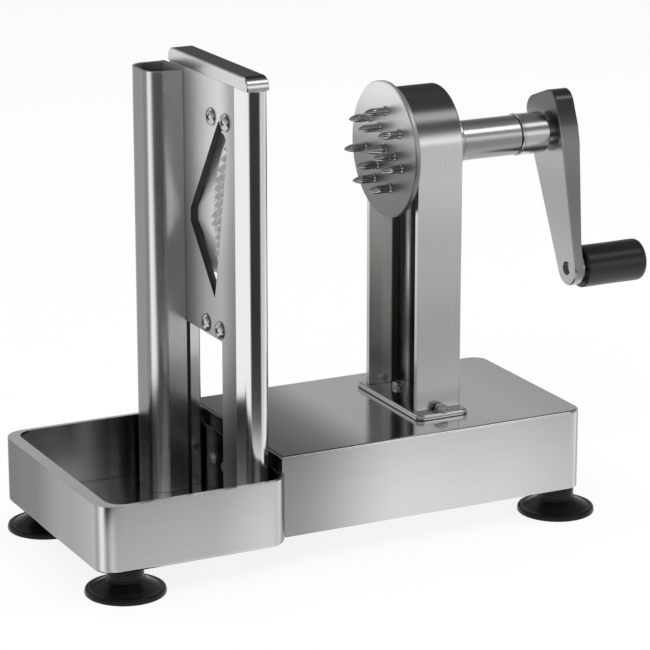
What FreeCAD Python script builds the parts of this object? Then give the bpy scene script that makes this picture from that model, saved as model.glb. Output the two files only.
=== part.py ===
# Hand cranked vegetable spiralizer: a catch tray and a hollow base on four suction feet, a blade frame
# that stands in the tray, and a post that carries a sliding quill with a spiked disc and a crank.
# Frame: +X from the tray to the crank, +Y to the side away from the user, +Z up, millimetres.
# The origin is on the table, under the middle of the whole part.
import FreeCAD, Part
import math
import os
import Sketcher
from FreeCAD import Placement, Rotation, Vector

doc = FreeCAD.newDocument("Spiralizer")

# ---------------------------------------------------------------- driving sizes
sizeTable = {
    # tray, open at the top
    "tray_end": 168.0,              # from the origin to the tray's outer end
    "tray_length": 106.0,
    "tray_width": 138.0,
    "tray_height": 36.0,
    "tray_wall": 1.2,
    "tray_corner": 12.0,
    "tray_floor_edge": 2.5,
    "rim_width": 2.6,               # folded rim on three sides
    "grip_rim_width": 7.0,          # wider rim at the free end, where the tray is wiped out
    "joint_rim_width": 1.8,         # rim along the joint with the base
    "rim_thickness": 1.4,
    # base, a shell open at the bottom with a plate let into it
    "base_length": 181.5,
    "base_width": 114.0,
    "base_height": 44.0,
    "base_wall": 1.5,
    "base_corner": 9.0,
    "base_edge": 1.6,
    "bottom_plate_thickness": 2.0,
    "bottom_plate_clearance": 0.4,
    "standoff_radius": 4.0,
    "standoff_inset": 12.0,
    # suction feet
    "underside_height": 15.5,       # table to the underside of tray and base
    "foot_radius": 21.0,
    "foot_neck_radius": 9.6,
    "foot_neck_bottom": 8.4,
    "foot_bead": 0.5,               # thin ring between neck and skirt
    "foot_lip": 3.4,
    "foot_lip_bevel": 1.0,
    "foot_bottom_bevel": 0.4,
    "foot_ring": 3.0,               # width of the ring that meets the table
    "foot_hollow": 4.2,
    "foot_end_inset": 19.0,         # tray foot to the tray's end
    "foot_side_inset": 15.0,        # foot to the side of the tray
    "base_foot_end_inset": 9.8,
    "base_foot_side_inset": 12.0,
    "stud_radius": 2.5,
    "stud_head_radius": 6.0,
    "stud_head_thickness": 2.4,
    "nut_thickness": 4.0,
    "nut_radius": 4.6,
    # blade frame
    "column_rim_gap": 0.2,          # back of the columns to the tray's rim
    "frame_rise": 56.0,             # crank axis to the top of the cap
    "column_depth": 12.5,
    "front_column_width": 18.0,
    "rear_leg_width": 12.0,
    "column_wall": 1.2,
    "column_round": 6.0,
    "rear_leg_round": 4.0,
    "column_inner_round": 1.5,
    "panel_half_width": 32.0,
    "panel_thickness": 2.0,
    "panel_setback": 1.5,           # panel behind the front of the near column
    "panel_leg_width": 19.0,
    "window_gap": 0.5,              # window's upper edge below the blade carrier
    "rear_leg_offset": 6.0,         # rear leg behind the panel's edge
    "channel_depth": 19.5,
    "channel_width": 29.0,
    "channel_wall": 1.2,
    "channel_round": 9.0,
    "channel_drop": 10.0,           # channel's open top below the frame's top
    "cap_height": 7.0,
    "cap_wall": 1.2,
    "cap_round": 5.6,
    "cap_bevel": 0.6,
    "cap_lap": 3.0,                 # panel's upper edge inside the cap
    "cap_tongue": 9.0,              # tongues of the cap that reach down into the tubes
    "plug_height": 14.0,
    "plug_clearance": 0.05,
    # blades
    "slot_rise": 27.4,              # apex above the crank axis
    "slot_drop": 68.0,              # lower point below the crank axis
    "slot_apex_side": -11.0,
    "slot_near_side": -20.4,
    "slot_near_foot_side": -6.6,
    "slot_foot_side": -4.5,
    "slot_far_side": 25.0,
    "slot_near_drop": 9.0,          # apex to the near side's upper corner
    "slot_near_upright": 9.4,
    "slot_near_rise": 9.0,          # near side's lower corner above the lower point
    "slot_far_drop": 53.5,          # apex to the widest part
    "slot_far_height": 7.0,
    "carrier_thickness": 2.0,
    "carrier_near_side": -30.5,
    "carrier_far_side": 36.5,
    "carrier_top_margin": 12.0,     # carrier's edge beyond the slot's two ends
    "carrier_bottom_margin": 21.0,
    "carrier_corner": 5.0,
    "toothed_thickness": 1.2,
    "toothed_top_inset": 10.0,      # strip's ends inside the slot's two ends
    "toothed_bottom_inset": 9.5,
    "toothed_back_side": -27.0,
    "toothed_tip_side": -12.0,      # upper and lower ends of the bowed edge
    "toothed_foot_side": -4.0,
    "toothed_bow": 67.6,            # radius of the bowed edge
    "tooth_base": 3.8,
    "tooth_height": 2.6,
    "tooth_pitch": 4.3,
    "tooth_column_pitch": 4.0,
    "tooth_inset": 0.4,             # first column of teeth inside the bowed edge
    "tooth_margin": 0.1,            # least distance of a tooth from the bowed edge
    "tooth_clearance": 0.3,         # tooth to the side of the slot
    "knife_thickness": 1.2,
    "knife_standoff": 4.0,          # knife's land behind the carrier
    "knife_land": 6.0,              # crank axis to the bend beside the land
    "knife_land_reach": 4.0,        # land beyond the crank axis, where it holds the centre pin
    "knife_edge_side": 0.5,
    "knife_edge_bevel": 0.8,
    "knife_lap": 1.5,               # bend of the knife beyond the slot's far side
    "knife_foot": 8.5,              # width of the foot that is riveted to the carrier
    "knife_axis_gap": 4.5,          # upper end of the cutting edge below the crank axis
    "pin_radius": 1.8,
    "pin_length": 9.0,
    "pin_flange": 0.8,
    "rivet_radius": 1.5,
    "rivet_head_radius": 2.6,
    "rivet_head_height": 0.9,
    "rivet_end_inset": 8.0,         # rivets inside the ends and outer edges of strip and knife
    "rivet_side_inset": 3.5,
    "blade_screw_spread": 8.5,
    "blade_screw_top_inset": 11.5,  # screws inside the carrier's upper and lower edge
    "blade_screw_bottom_inset": 5.2,
    "blade_screw_foot_side": -2.5,  # middle of the lower pair
    "blade_screw_radius": 2.0,
    "blade_screw_head_radius": 4.7,
    "blade_screw_head_height": 2.2,
    "blade_nut_thickness": 3.0,
    "blade_nut_radius": 4.0,
    # post and its foot
    "post_setback": 93.5,           # joint of tray and base to the post's open front
    "post_depth": 26.5,
    "post_width": 58.0,
    "post_wall": 3.0,
    "post_inner_round": 6.0,
    "post_edge": 0.8,
    "arch_rise": 3.5,               # centre of the arch above the crank's axis
    "foot_plate_thickness": 3.0,
    "foot_plate_front": 3.0,
    "foot_plate_back": 2.0,
    "foot_plate_side": 7.4,
    "foot_plate_corner": 5.0,
    "post_bolt_radius": 2.0,
    "post_bolt_head_radius": 3.5,
    "post_bolt_head_height": 3.0,
    "post_bolt_length": 12.0,
    "washer_radius": 5.0,
    "washer_thickness": 0.8,
    "inner_bolt_side": 16.0,
    # crank axis, bearing and quill
    "axis_height": 201.0,
    "housing_front": 15.0,          # bearing in front of the post's web
    "housing_radius": 13.0,
    "housing_neck": 3.0,
    "ring_radius": 14.9,
    "ring_thickness": 7.0,
    "ring_chamfer": 0.8,
    "ring_nut_radius": 19.0,
    "ring_nut_thickness": 6.0,
    "quill_radius": 10.8,
    "quill_bore": 8.0,
    "quill_travel": 36.0,
    "quill_end_margin": 0.7,
    "slide_clearance": 0.05,
    "keyway_width": 4.0,
    "keyway_depth": 1.5,
    "key_clearance": 0.3,
    "bush_length": 14.0,
    "shaft_radius": 5.0,
    "turning_clearance": 0.05,
    "end_gap": 0.6,                 # axial gap on both sides of the quill
    # spiked disc
    "disc_radius": 36.5,
    "disc_thickness": 3.0,
    "disc_gap": 2.5,
    "disc_edge": 0.6,
    "hub_radius": 9.5,
    "spigot_radius": 3.5,
    "spike_circle": 21.0,
    "inner_spike_circle": 12.0,
    "spike_radius": 1.9,
    "spike_straight": 7.0,
    "spike_shoulder": 3.5,          # slightly tapered part between the straight part and the tip
    "spike_shoulder_radius": 1.5,
    "spike_length": 13.0,
    "spike_collar_radius": 2.4,
    "spike_collar_height": 1.0,
    "spike_root": 2.4,
    "point_radius": 3.0,
    "point_length": 15.0,
    "point_flange": 2.0,
    # collar and crank
    "collar_radius": 11.5,
    "collar_length": 16.8,
    "collar_lip": 0.8,
    "collar_neck_radius": 8.0,
    "collar_neck": 3.0,
    "collar_bevel": 0.4,
    "collar_step": 0.3,             # lip standing out beyond the rest of the collar
    "set_screw_radius": 2.0,
    "set_screw_sink": 0.8,          # set screws' outer ends below the surface
    "set_screw_point": 0.4,
    "square_side": 7.0,
    "square_clearance": 0.05,
    "arm_reach": 75.5,              # crank axis to grip axis
    "arm_tilt": 20.0,               # degrees from straight down, at rest
    "arm_head": 21.5,               # end of the arm above the crank axis
    "arm_head_taper": 1.0,          # narrowing of each side towards that end
    "arm_width": 34.4,
    "arm_tip_width": 19.0,
    "arm_thickness": 11.0,
    "arm_tip_thickness": 5.2,
    "arm_flat": 9.0,                # where the taper starts below the crank axis
    "arm_tip_flat": 10.4,           # where the taper ends above the grip's axis
    "arm_head_round": 8.5,
    "arm_edge": 0.7,
    "arm_screw_radius": 2.5,
    "arm_screw_length": 12.0,
    "arm_screw_head_radius": 5.2,
    "arm_screw_head_height": 3.2,
    "arm_washer_radius": 7.5,
    "arm_washer_thickness": 1.0,
    "axle_radius": 4.0,
    "axle_neck_radius": 3.0,
    "axle_head_radius": 3.8,
    "axle_head_height": 2.0,
    "axle_head_recess": 1.8,
    "tip_washer_radius": 8.4,
    "tip_washer_thickness": 2.0,
    "grip_gap": 0.5,
    "grip_radius": 11.5,
    "grip_length": 37.2,
    "grip_end_round": 3.0,
    "grip_near_bevel": 1.0,
    "sleeve_radius": 6.0,
    "grip_cap_radius": 7.0,
    "grip_cap_thickness": 2.0,
    "grip_cap_recess": 0.4,
    # bolts between tray and base
    "joint_bolt_radius": 2.0,
    "joint_bolt_head_radius": 3.8,
    "joint_bolt_head_height": 2.2,
    "joint_bolt_height": 19.0,
    "joint_bolt_inner": 9.0,
    "joint_bolt_outer": 26.0,
    "joint_bolt_tail": 2.0,
}

sheet = doc.addObject("Spreadsheet::Sheet", "Sizes")
for row, (name, value) in enumerate(sizeTable.items(), start=1):
    sheet.set("A%d" % row, name)
    sheet.set("B%d" % row, str(value))
    sheet.setAlias("B%d" % row, name)
doc.recompute()


class Size:
    """A number together with the spreadsheet formula that gives it."""

    def __init__(self, text, value):
        self.text = text
        self.value = value

    def __float__(self):
        return self.value

    def combine(self, sign, other, value):
        return Size("(%s %s %s)" % (self.text, sign, other.text), value)

    def __add__(self, other):
        other = asSize(other)
        return self.combine("+", other, self.value + other.value)

    def __sub__(self, other):
        other = asSize(other)
        return self.combine("-", other, self.value - other.value)

    def __mul__(self, other):
        other = asSize(other)
        return self.combine("*", other, self.value * other.value)

    def __truediv__(self, other):
        other = asSize(other)
        return self.combine("/", other, self.value / other.value)

    def __radd__(self, other):
        return asSize(other) + self

    def __rsub__(self, other):
        return asSize(other) - self

    def __rmul__(self, other):
        return asSize(other) * self

    def __neg__(self):
        return Size("(0 - %s)" % self.text, -self.value)


def asSize(number):
    return number if isinstance(number, Size) else Size(repr(float(number)), float(number))


def root(number):
    return Size("sqrt(%s)" % number.text, math.sqrt(number.value))


class SheetSizes:
    """Gives the sheet's cells as attributes."""

    def __getattr__(self, name):
        return Size("Sizes." + name, float(sheet.get(name)))


size = SheetSizes()


def bind(thing, path, value):
    thing.setExpression(path, asSize(value).text)


# ---------------------------------------------------------------- sketches
class Drawing:
    """A sketch on an origin plane of its own body, with every point tied to sizes."""

    def __init__(self, body, plane, offset=0.0):
        self.sketch = body.newObject("Sketcher::SketchObject", body.Label + "Sketch")
        support = [item for item in body.Origin.OriginFeatures if item.Role == plane][0]
        self.sketch.AttachmentSupport = [(support, "")]
        self.sketch.MapMode = "FlatFace"
        bind(self.sketch, "AttachmentOffset.Base.z", offset)

    def hold(self, kind, *reference, by):
        index = self.sketch.addConstraint(Sketcher.Constraint(kind, *reference, float(by)))
        bind(self.sketch, "Constraints[%d]" % index, by)

    def place(self, geometry, end, across, up):
        """Ties one end of a line, or a centre (end 3), to its two coordinates."""
        for kind, axis, value in (("DistanceX", -2, across), ("DistanceY", -1, up)):
            if isinstance(value, Size):
                self.hold(kind, -1, 1, geometry, end, by=value)
            elif value == 0:
                self.sketch.addConstraint(Sketcher.Constraint("PointOnObject", geometry, end, axis))
            else:
                self.hold(kind, -1, 1, geometry, end, by=asSize(value))

    def polygon(self, points):
        corners = [Vector(float(across), float(up), 0) for across, up in points]
        lines = []
        for index, corner in enumerate(corners):
            following = corners[(index + 1) % len(corners)]
            lines.append(self.sketch.addGeometry(Part.LineSegment(corner, following), False))
        for index, line in enumerate(lines):
            following = lines[(index + 1) % len(lines)]
            self.sketch.addConstraint(Sketcher.Constraint("Coincident", line, 2, following, 1))
        for line, (across, up) in zip(lines, points):
            self.place(line, 1, across, up)
        return self

    def circle(self, across, up, radius):
        centre = Vector(float(across), float(up), 0)
        ring = self.sketch.addGeometry(Part.Circle(centre, Vector(0, 0, 1), float(radius)), False)
        self.hold("Radius", ring, by=asSize(radius))
        self.place(ring, 3, across, up)
        return self

    def box(self, left, low, right, high):
        return self.polygon([(left, low), (right, low), (right, high), (left, high)])

    def roundedBox(self, left, low, right, high, radii):
        """A rectangle with a radius, or None, at low left, low right, high right and high left."""
        xs = (float(left), float(right))
        ys = (float(low), float(high))
        cut = [float(radius) if radius is not None else 0.0 for radius in radii]
        ends = [((xs[0] + cut[0], ys[0]), (xs[1] - cut[1], ys[0])),
                ((xs[1], ys[0] + cut[1]), (xs[1], ys[1] - cut[2])),
                ((xs[1] - cut[2], ys[1]), (xs[0] + cut[3], ys[1])),
                ((xs[0], ys[1] - cut[3]), (xs[0], ys[0] + cut[0]))]
        sides = []
        for number, (start, stop) in enumerate(ends):
            line = Part.LineSegment(Vector(*start, 0), Vector(*stop, 0))
            sides.append(self.sketch.addGeometry(line, False))
            direction = "Horizontal" if number % 2 == 0 else "Vertical"
            self.sketch.addConstraint(Sketcher.Constraint(direction, sides[-1]))
        for side, kind, value in zip(sides, ("DistanceY", "DistanceX") * 2, (low, right, high, left)):
            self.hold(kind, -1, 1, side, 1, by=asSize(value))
        centres = ((xs[0] + cut[0], ys[0] + cut[0], 180), (xs[1] - cut[1], ys[0] + cut[1], 270),
                   (xs[1] - cut[2], ys[1] - cut[2], 0), (xs[0] + cut[3], ys[1] - cut[3], 90))
        for corner, radius in enumerate(radii):
            before, after = sides[corner - 1], sides[corner]
            if radius is None:
                self.sketch.addConstraint(Sketcher.Constraint("Coincident", before, 2, after, 1))
                continue
            across, up, start = centres[corner]
            circle = Part.Circle(Vector(across, up, 0), Vector(0, 0, 1), cut[corner])
            arc = Part.ArcOfCircle(circle, math.radians(start), math.radians(start + 90))
            bend = self.sketch.addGeometry(arc, False)
            self.sketch.addConstraint(Sketcher.Constraint("Tangent", before, 2, bend, 1))
            self.sketch.addConstraint(Sketcher.Constraint("Tangent", bend, 2, after, 1))
            self.hold("Radius", bend, by=radius)
        return self

    def bowedBox(self, left, low, lowRight, high, highRight, bow):
        """A box whose right side is an arc of radius bow from (lowRight, low) to (highRight, high)."""
        corners = [Vector(float(across), float(up), 0) for across, up in (
            (left, low), (lowRight, low), (highRight, high), (left, high))]
        middle = (corners[1] + corners[2]) / 2
        chord = (corners[2] - corners[1]) / 2
        away = math.sqrt(float(bow) ** 2 / chord.Length ** 2 - 1)
        centre = middle + Vector(-chord.y, chord.x, 0) * away
        start, stop = [math.atan2(point.y - centre.y, point.x - centre.x) for point in corners[1:3]]
        floor = self.sketch.addGeometry(Part.LineSegment(corners[0], corners[1]), False)
        circle = Part.Circle(centre, Vector(0, 0, 1), float(bow))
        side = self.sketch.addGeometry(Part.ArcOfCircle(circle, start, stop), False)
        top = self.sketch.addGeometry(Part.LineSegment(corners[2], corners[3]), False)
        back = self.sketch.addGeometry(Part.LineSegment(corners[3], corners[0]), False)
        loop = [floor, side, top, back]
        for line, following in zip(loop, loop[1:] + loop[:1]):
            self.sketch.addConstraint(Sketcher.Constraint("Coincident", line, 2, following, 1))
        self.place(floor, 1, left, low)
        self.place(floor, 2, lowRight, low)
        self.place(top, 1, highRight, high)
        self.place(top, 2, left, high)
        self.hold("Radius", side, by=bow)
        return self

    def arch(self, halfWidth, low, springing):
        """A doorway outline: straight sides up to the springing line and a half circle above."""
        half = float(halfWidth)
        base = float(low)
        top = float(springing)
        corners = [Vector(-half, base, 0), Vector(half, base, 0), Vector(half, top, 0), Vector(-half, top, 0)]
        circle = Part.Circle(Vector(0, top, 0), Vector(0, 0, 1), half)
        floor = self.sketch.addGeometry(Part.LineSegment(corners[0], corners[1]), False)
        right = self.sketch.addGeometry(Part.LineSegment(corners[1], corners[2]), False)
        bow = self.sketch.addGeometry(Part.ArcOfCircle(circle, 0, math.pi), False)
        left = self.sketch.addGeometry(Part.LineSegment(corners[3], corners[0]), False)
        for kind, first, firstEnd, second, secondEnd in (
                ("Coincident", floor, 2, right, 1), ("Tangent", right, 2, bow, 1),
                ("Tangent", bow, 2, left, 1), ("Coincident", left, 2, floor, 1)):
            self.sketch.addConstraint(Sketcher.Constraint(kind, first, firstEnd, second, secondEnd))
        self.sketch.addConstraint(Sketcher.Constraint("Vertical", right))
        self.sketch.addConstraint(Sketcher.Constraint("Vertical", left))
        self.place(floor, 1, -halfWidth, low)
        self.place(floor, 2, halfWidth, low)
        self.hold("DistanceY", -1, 1, bow, 3, by=springing)
        return self


# ---------------------------------------------------------------- features
pieces = []                         # every sub-part, in the order of the files


def keep(label, thing):
    thing.Label = label
    pieces.append(thing)
    return thing


def newBody(label, at=(0, 0, 0), turn=None):
    """An empty body at a place; turn is an axis and an angle in degrees."""
    body = keep(label, doc.addObject("PartDesign::Body", label))
    if turn:
        body.Placement = Placement(Vector(0, 0, 0), Rotation(Vector(*turn[0]), float(turn[1])))
        bind(body, "Placement.Rotation.Angle", turn[1])
    for letter, value in zip("xyz", at):
        bind(body, "Placement.Base." + letter, value)
    return body


def pad(body, drawing, length):
    feature = body.newObject("PartDesign::Pad", body.Label + "Pad")
    feature.Profile = drawing.sketch
    bind(feature, "Length", length)
    drawing.sketch.Visibility = False
    return feature


def cutWith(body, feature):
    """Recomputes a cutting feature and makes sure that it took material away."""
    before = feature.BaseFeature.Shape.Volume
    doc.recompute()
    if feature.Shape.isNull() or not feature.Shape.Volume < before - 1e-4:
        raise RuntimeError("%s takes nothing off %s" % (feature.Name, body.Label))
    return feature


def pocket(body, drawing, depth, against=False):
    """Cuts along the sketch's normal; against cuts the other way."""
    doc.recompute()
    feature = body.newObject("PartDesign::Pocket", body.Label + "Pocket")
    feature.Profile = drawing.sketch
    feature.Reversed = not against
    bind(feature, "Length", depth)
    return cutWith(body, feature)


def turned(body, drawing, axis="H_Axis"):
    feature = body.newObject("PartDesign::Revolution", body.Label + "Revolution")
    feature.Profile = drawing.sketch
    feature.ReferenceAxis = (drawing.sketch, [axis])
    feature.Angle = 360
    return feature


def rounded(body, radius, wanted, kind="Fillet"):
    """Rounds, or with kind Chamfer bevels, the edges of the body that wanted() accepts."""
    doc.recompute()
    tip = body.Tip
    names = ["Edge%d" % number for number, edge in enumerate(tip.Shape.Edges, start=1) if wanted(edge)]
    if not names:
        raise RuntimeError("no edge to round on " + body.Label)
    feature = body.newObject("PartDesign::" + kind, body.Label + kind)
    feature.Base = (tip, names)
    bind(feature, "Radius" if kind == "Fillet" else "Size", radius)
    doc.recompute()
    if feature.Shape.isNull() or not feature.Shape.isValid():
        raise RuntimeError("%s can't round %d edges of %s" % (feature.Name, len(names), body.Label))
    return feature


def runsAlong(edge, axis):
    """True for a straight edge parallel to the axis, a letter."""
    if edge.Curve.TypeId != "Part::GeomLine":
        return False
    direction = edge.Vertexes[-1].Point - edge.Vertexes[0].Point
    return abs(abs(direction.normalize().dot(axisVector[axis])) - 1) < 1e-6


def liesAt(edge, letter, value):
    """True for an edge whose every point has this coordinate."""
    points = [vertex.Point for vertex in edge.Vertexes] + [edge.valueAt(edge.FirstParameter)]
    points.append(edge.CenterOfMass)
    return all(abs(getattr(point, letter) - float(value)) < 1e-4 for point in points)


def ringAt(edge, radius, x):
    """True for a circle about a body's X axis with this radius."""
    return (edge.Curve.TypeId == "Part::GeomCircle" and abs(edge.Curve.Radius - float(radius)) < 1e-4
            and liesAt(edge, "x", x))


axisVector = {"X": Vector(1, 0, 0), "Y": Vector(0, 1, 0), "Z": Vector(0, 0, 1)}
planes = {"top": "XY_Plane", "side": "XZ_Plane", "end": "YZ_Plane"}


def drawOn(body, view, offset=0.0):
    """top looks down +Z (x, y); side has x across and z up; end has y across and z up."""
    return Drawing(body, planes[view], -offset if view == "side" else offset)


def lathe(label, profile, at, turn=None):
    """A piece turned about its own X axis from (x, radius) points."""
    body = newBody(label, at, turn)
    turned(body, drawOn(body, "side").polygon(profile))
    return body


# ---------------------------------------------------------------- part primitives
def cylinder(radius, length, at, axis="Z"):
    thing = doc.addObject("Part::Cylinder", "Round")
    bind(thing, "Radius", radius)
    bind(thing, "Height", length)
    return put(thing, at, axis)


def cone(bottomRadius, topRadius, length, at, axis="Z"):
    thing = doc.addObject("Part::Cone", "Taper")
    bind(thing, "Radius1", bottomRadius)
    bind(thing, "Radius2", topRadius)
    bind(thing, "Height", length)
    return put(thing, at, axis)


def hexagon(radius, length, at, axis="Z"):
    """A six-sided prism; radius runs to its corners."""
    thing = doc.addObject("Part::Prism", "Hexagon")
    thing.Polygon = 6
    bind(thing, "Circumradius", radius)
    bind(thing, "Height", length)
    return put(thing, at, axis)


def put(thing, at, axis="Z"):
    """Places a primitive whose own axis is Z; axis names the way that it then points."""
    turns = {"Z": Rotation(), "X": Rotation(Vector(0, 1, 0), 90), "-Z": Rotation(Vector(1, 0, 0), 180),
             "-X": Rotation(Vector(0, 1, 0), -90)}
    thing.Placement = Placement(Vector(0, 0, 0), turns[axis])
    for letter, value in zip("xyz", at):
        bind(thing, "Placement.Base." + letter, value)
    return thing


def fuse(*things):
    joined = doc.addObject("Part::MultiFuse", "Joined")
    joined.Shapes = list(things)
    return joined


def cut(thing, tool):
    result = doc.addObject("Part::Cut", "Bored")
    result.Base = thing
    result.Tool = tool
    return result


def group(label, things):
    """Identical small pieces in one node, each still a solid of its own."""
    compound = keep(label, doc.addObject("Part::Compound", label))
    compound.Links = list(things)
    return compound


# ---------------------------------------------------------------- places worked out from the sizes
over = 1.0                          # cutting tools reach this far past the faces that they open
headCrown = 0.6                     # radius of a rounded screw head's top, as a share of the head's radius
headRim = 0.45                      # straight part of a rounded screw head, as a share of its height
trayLeft = -size.tray_end
baseLeft = trayLeft + size.tray_length
baseRight = baseLeft + size.base_length
underside = size.underside_height
trayTop = underside + size.tray_height
trayFloor = underside + size.tray_wall
trayHalf = size.tray_width / 2
baseTop = underside + size.base_height
baseHalf = size.base_width / 2
deckUnderside = baseTop - size.base_wall
plateTop = underside + size.bottom_plate_thickness

columnBack = baseLeft - size.joint_rim_width - size.column_rim_gap
columnFront = columnBack - size.column_depth
panelFront = columnFront + size.panel_setback
panelBack = panelFront + size.panel_thickness
panelHalf = size.panel_half_width
nearColumnOut = -panelHalf - size.front_column_width
rearLegIn = panelHalf + size.rear_leg_offset
rearLegOut = rearLegIn + size.rear_leg_width
channelOut = panelHalf + size.channel_width
carrierBack = panelBack + size.carrier_thickness
toothedBack = carrierBack + size.toothed_thickness

postFront = baseLeft + size.post_setback
postBack = postFront + size.post_depth
webFront = postBack - size.post_wall
postHalf = size.post_width / 2
plateSide = postHalf + size.foot_plate_side
footPlateTop = baseTop + size.foot_plate_thickness
axis = size.axis_height
archCentre = axis + size.arch_rise

frameTop = axis + size.frame_rise
columnTop = frameTop - size.cap_height
channelTop = frameTop - size.channel_drop
slotTop = axis + size.slot_rise
slotBottom = axis - size.slot_drop
carrierTop = slotTop + size.carrier_top_margin
carrierBottom = slotBottom - size.carrier_bottom_margin
toothedTop = slotTop - size.toothed_top_inset
toothedBottom = slotBottom + size.toothed_bottom_inset

discBack = postFront - size.disc_gap
discFront = discBack - size.disc_thickness
quillFront = postFront
hubEnd = quillFront - size.end_gap
ringFront = postBack + size.housing_neck
ringBack = ringFront + size.ring_thickness
quillBack = ringBack + size.quill_travel + size.quill_end_margin
collarFront = quillBack + size.end_gap
collarBack = collarFront + size.collar_length
armFront = collarBack + size.collar_neck
armBack = armFront + size.arm_thickness
tipBack = armFront + size.arm_tip_thickness
gripFront = tipBack + size.tip_washer_thickness + size.grip_gap
gripBack = gripFront + size.grip_length

quillHole = size.quill_radius + size.slide_clearance
shaftHole = size.shaft_radius + size.turning_clearance
tilt = size.arm_tilt
tiltSine = Size("sin(%s * 1deg)" % tilt.text, math.sin(math.radians(float(tilt))))
tiltCosine = Size("cos(%s * 1deg)" % tilt.text, math.cos(math.radians(float(tilt))))
gripSide = -(size.arm_reach * tiltSine)
gripHeight = axis - size.arm_reach * tiltCosine

trayFootX = trayLeft + size.foot_end_inset
trayFootY = trayHalf - size.foot_side_inset
baseFootX = baseRight - size.base_foot_end_inset
baseFootY = baseHalf - size.base_foot_side_inset
footPlaces = {
    "foot_tray_near": (trayFootX, -trayFootY),
    "foot_tray_far": (trayFootX, trayFootY),
    "foot_base_near": (baseFootX, -baseFootY),
    "foot_base_far": (baseFootX, baseFootY),
}
columnCentreX = (columnFront + columnBack) / 2
nearColumnCentre = (columnCentreX, -panelHalf - size.front_column_width / 2)
rearLegCentre = ((panelBack + columnBack) / 2, rearLegIn + size.rear_leg_width / 2)
jointBoltSides = [-size.joint_bolt_outer, -size.joint_bolt_inner,
                  size.joint_bolt_inner, size.joint_bolt_outer]
jointBoltHeight = underside + size.joint_bolt_height
standoffPlaces = [(baseLeft + size.standoff_inset, -baseHalf + size.standoff_inset),
                  (baseLeft + size.standoff_inset, baseHalf - size.standoff_inset),
                  (postFront, -baseHalf + size.standoff_inset),
                  (postFront, baseHalf - size.standoff_inset)]
bladeScrewPlaces = [(middle + side * size.blade_screw_spread, height)
                    for middle, height in (
                        (size.slot_apex_side, carrierTop - size.blade_screw_top_inset),
                        (size.blade_screw_foot_side, carrierBottom + size.blade_screw_bottom_inset))
                    for side in (-1, 1)]
postBoltX = (postFront + postBack) / 2
postBoltPlaces = [(postBoltX, -postHalf - size.foot_plate_side / 2),
                  (postBoltX, postHalf + size.foot_plate_side / 2),
                  (postBoltX, -size.inner_bolt_side),
                  (postBoltX, size.inner_bolt_side)]
knifeFront = carrierBack + size.knife_standoff
knifeBend = size.slot_far_side + size.knife_lap
knifeOut = knifeBend + size.knife_foot
rivetPlaces = [(side, height)
               for side in (size.toothed_back_side + size.rivet_side_inset, knifeOut - size.rivet_side_inset)
               for height in (toothedBottom + size.rivet_end_inset, toothedTop - size.rivet_end_inset)]


# ---------------------------------------------------------------- tray
def makeTray():
    body = newBody("tray")
    corner = size.tray_corner
    outline = drawOn(body, "top", underside).roundedBox(trayLeft, -trayHalf, baseLeft, trayHalf, [corner] * 4)
    pad(body, outline, size.tray_height)
    rounded(body, size.tray_floor_edge, lambda edge: liesAt(edge, "z", underside))
    wall = size.tray_wall
    hollow = drawOn(body, "top", trayFloor).roundedBox(
        trayLeft + wall, -trayHalf + wall, baseLeft - wall, trayHalf - wall, [corner - wall] * 4)
    pocket(body, hollow, trayTop - size.rim_thickness - trayFloor)
    rim = size.rim_width
    mouth = drawOn(body, "top", trayTop - size.rim_thickness - over).roundedBox(
        trayLeft + size.grip_rim_width, -trayHalf + rim, baseLeft - size.joint_rim_width, trayHalf - rim,
        [corner - rim] * 4)
    pocket(body, mouth, size.rim_thickness + over * 2)
    holes = drawOn(body, "top", underside - over)
    for x, y in (footPlaces["foot_tray_near"], footPlaces["foot_tray_far"]):
        holes.circle(x, y, size.stud_radius)
    for x, y in (nearColumnCentre, rearLegCentre):
        holes.circle(x, y, size.blade_screw_radius)
    pocket(body, holes, size.tray_wall + over * 2)
    bolts = drawOn(body, "end", baseLeft - size.tray_wall - over)
    for y in jointBoltSides:
        bolts.circle(y, jointBoltHeight, size.joint_bolt_radius)
    pocket(body, bolts, size.tray_wall + over * 2)


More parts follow.
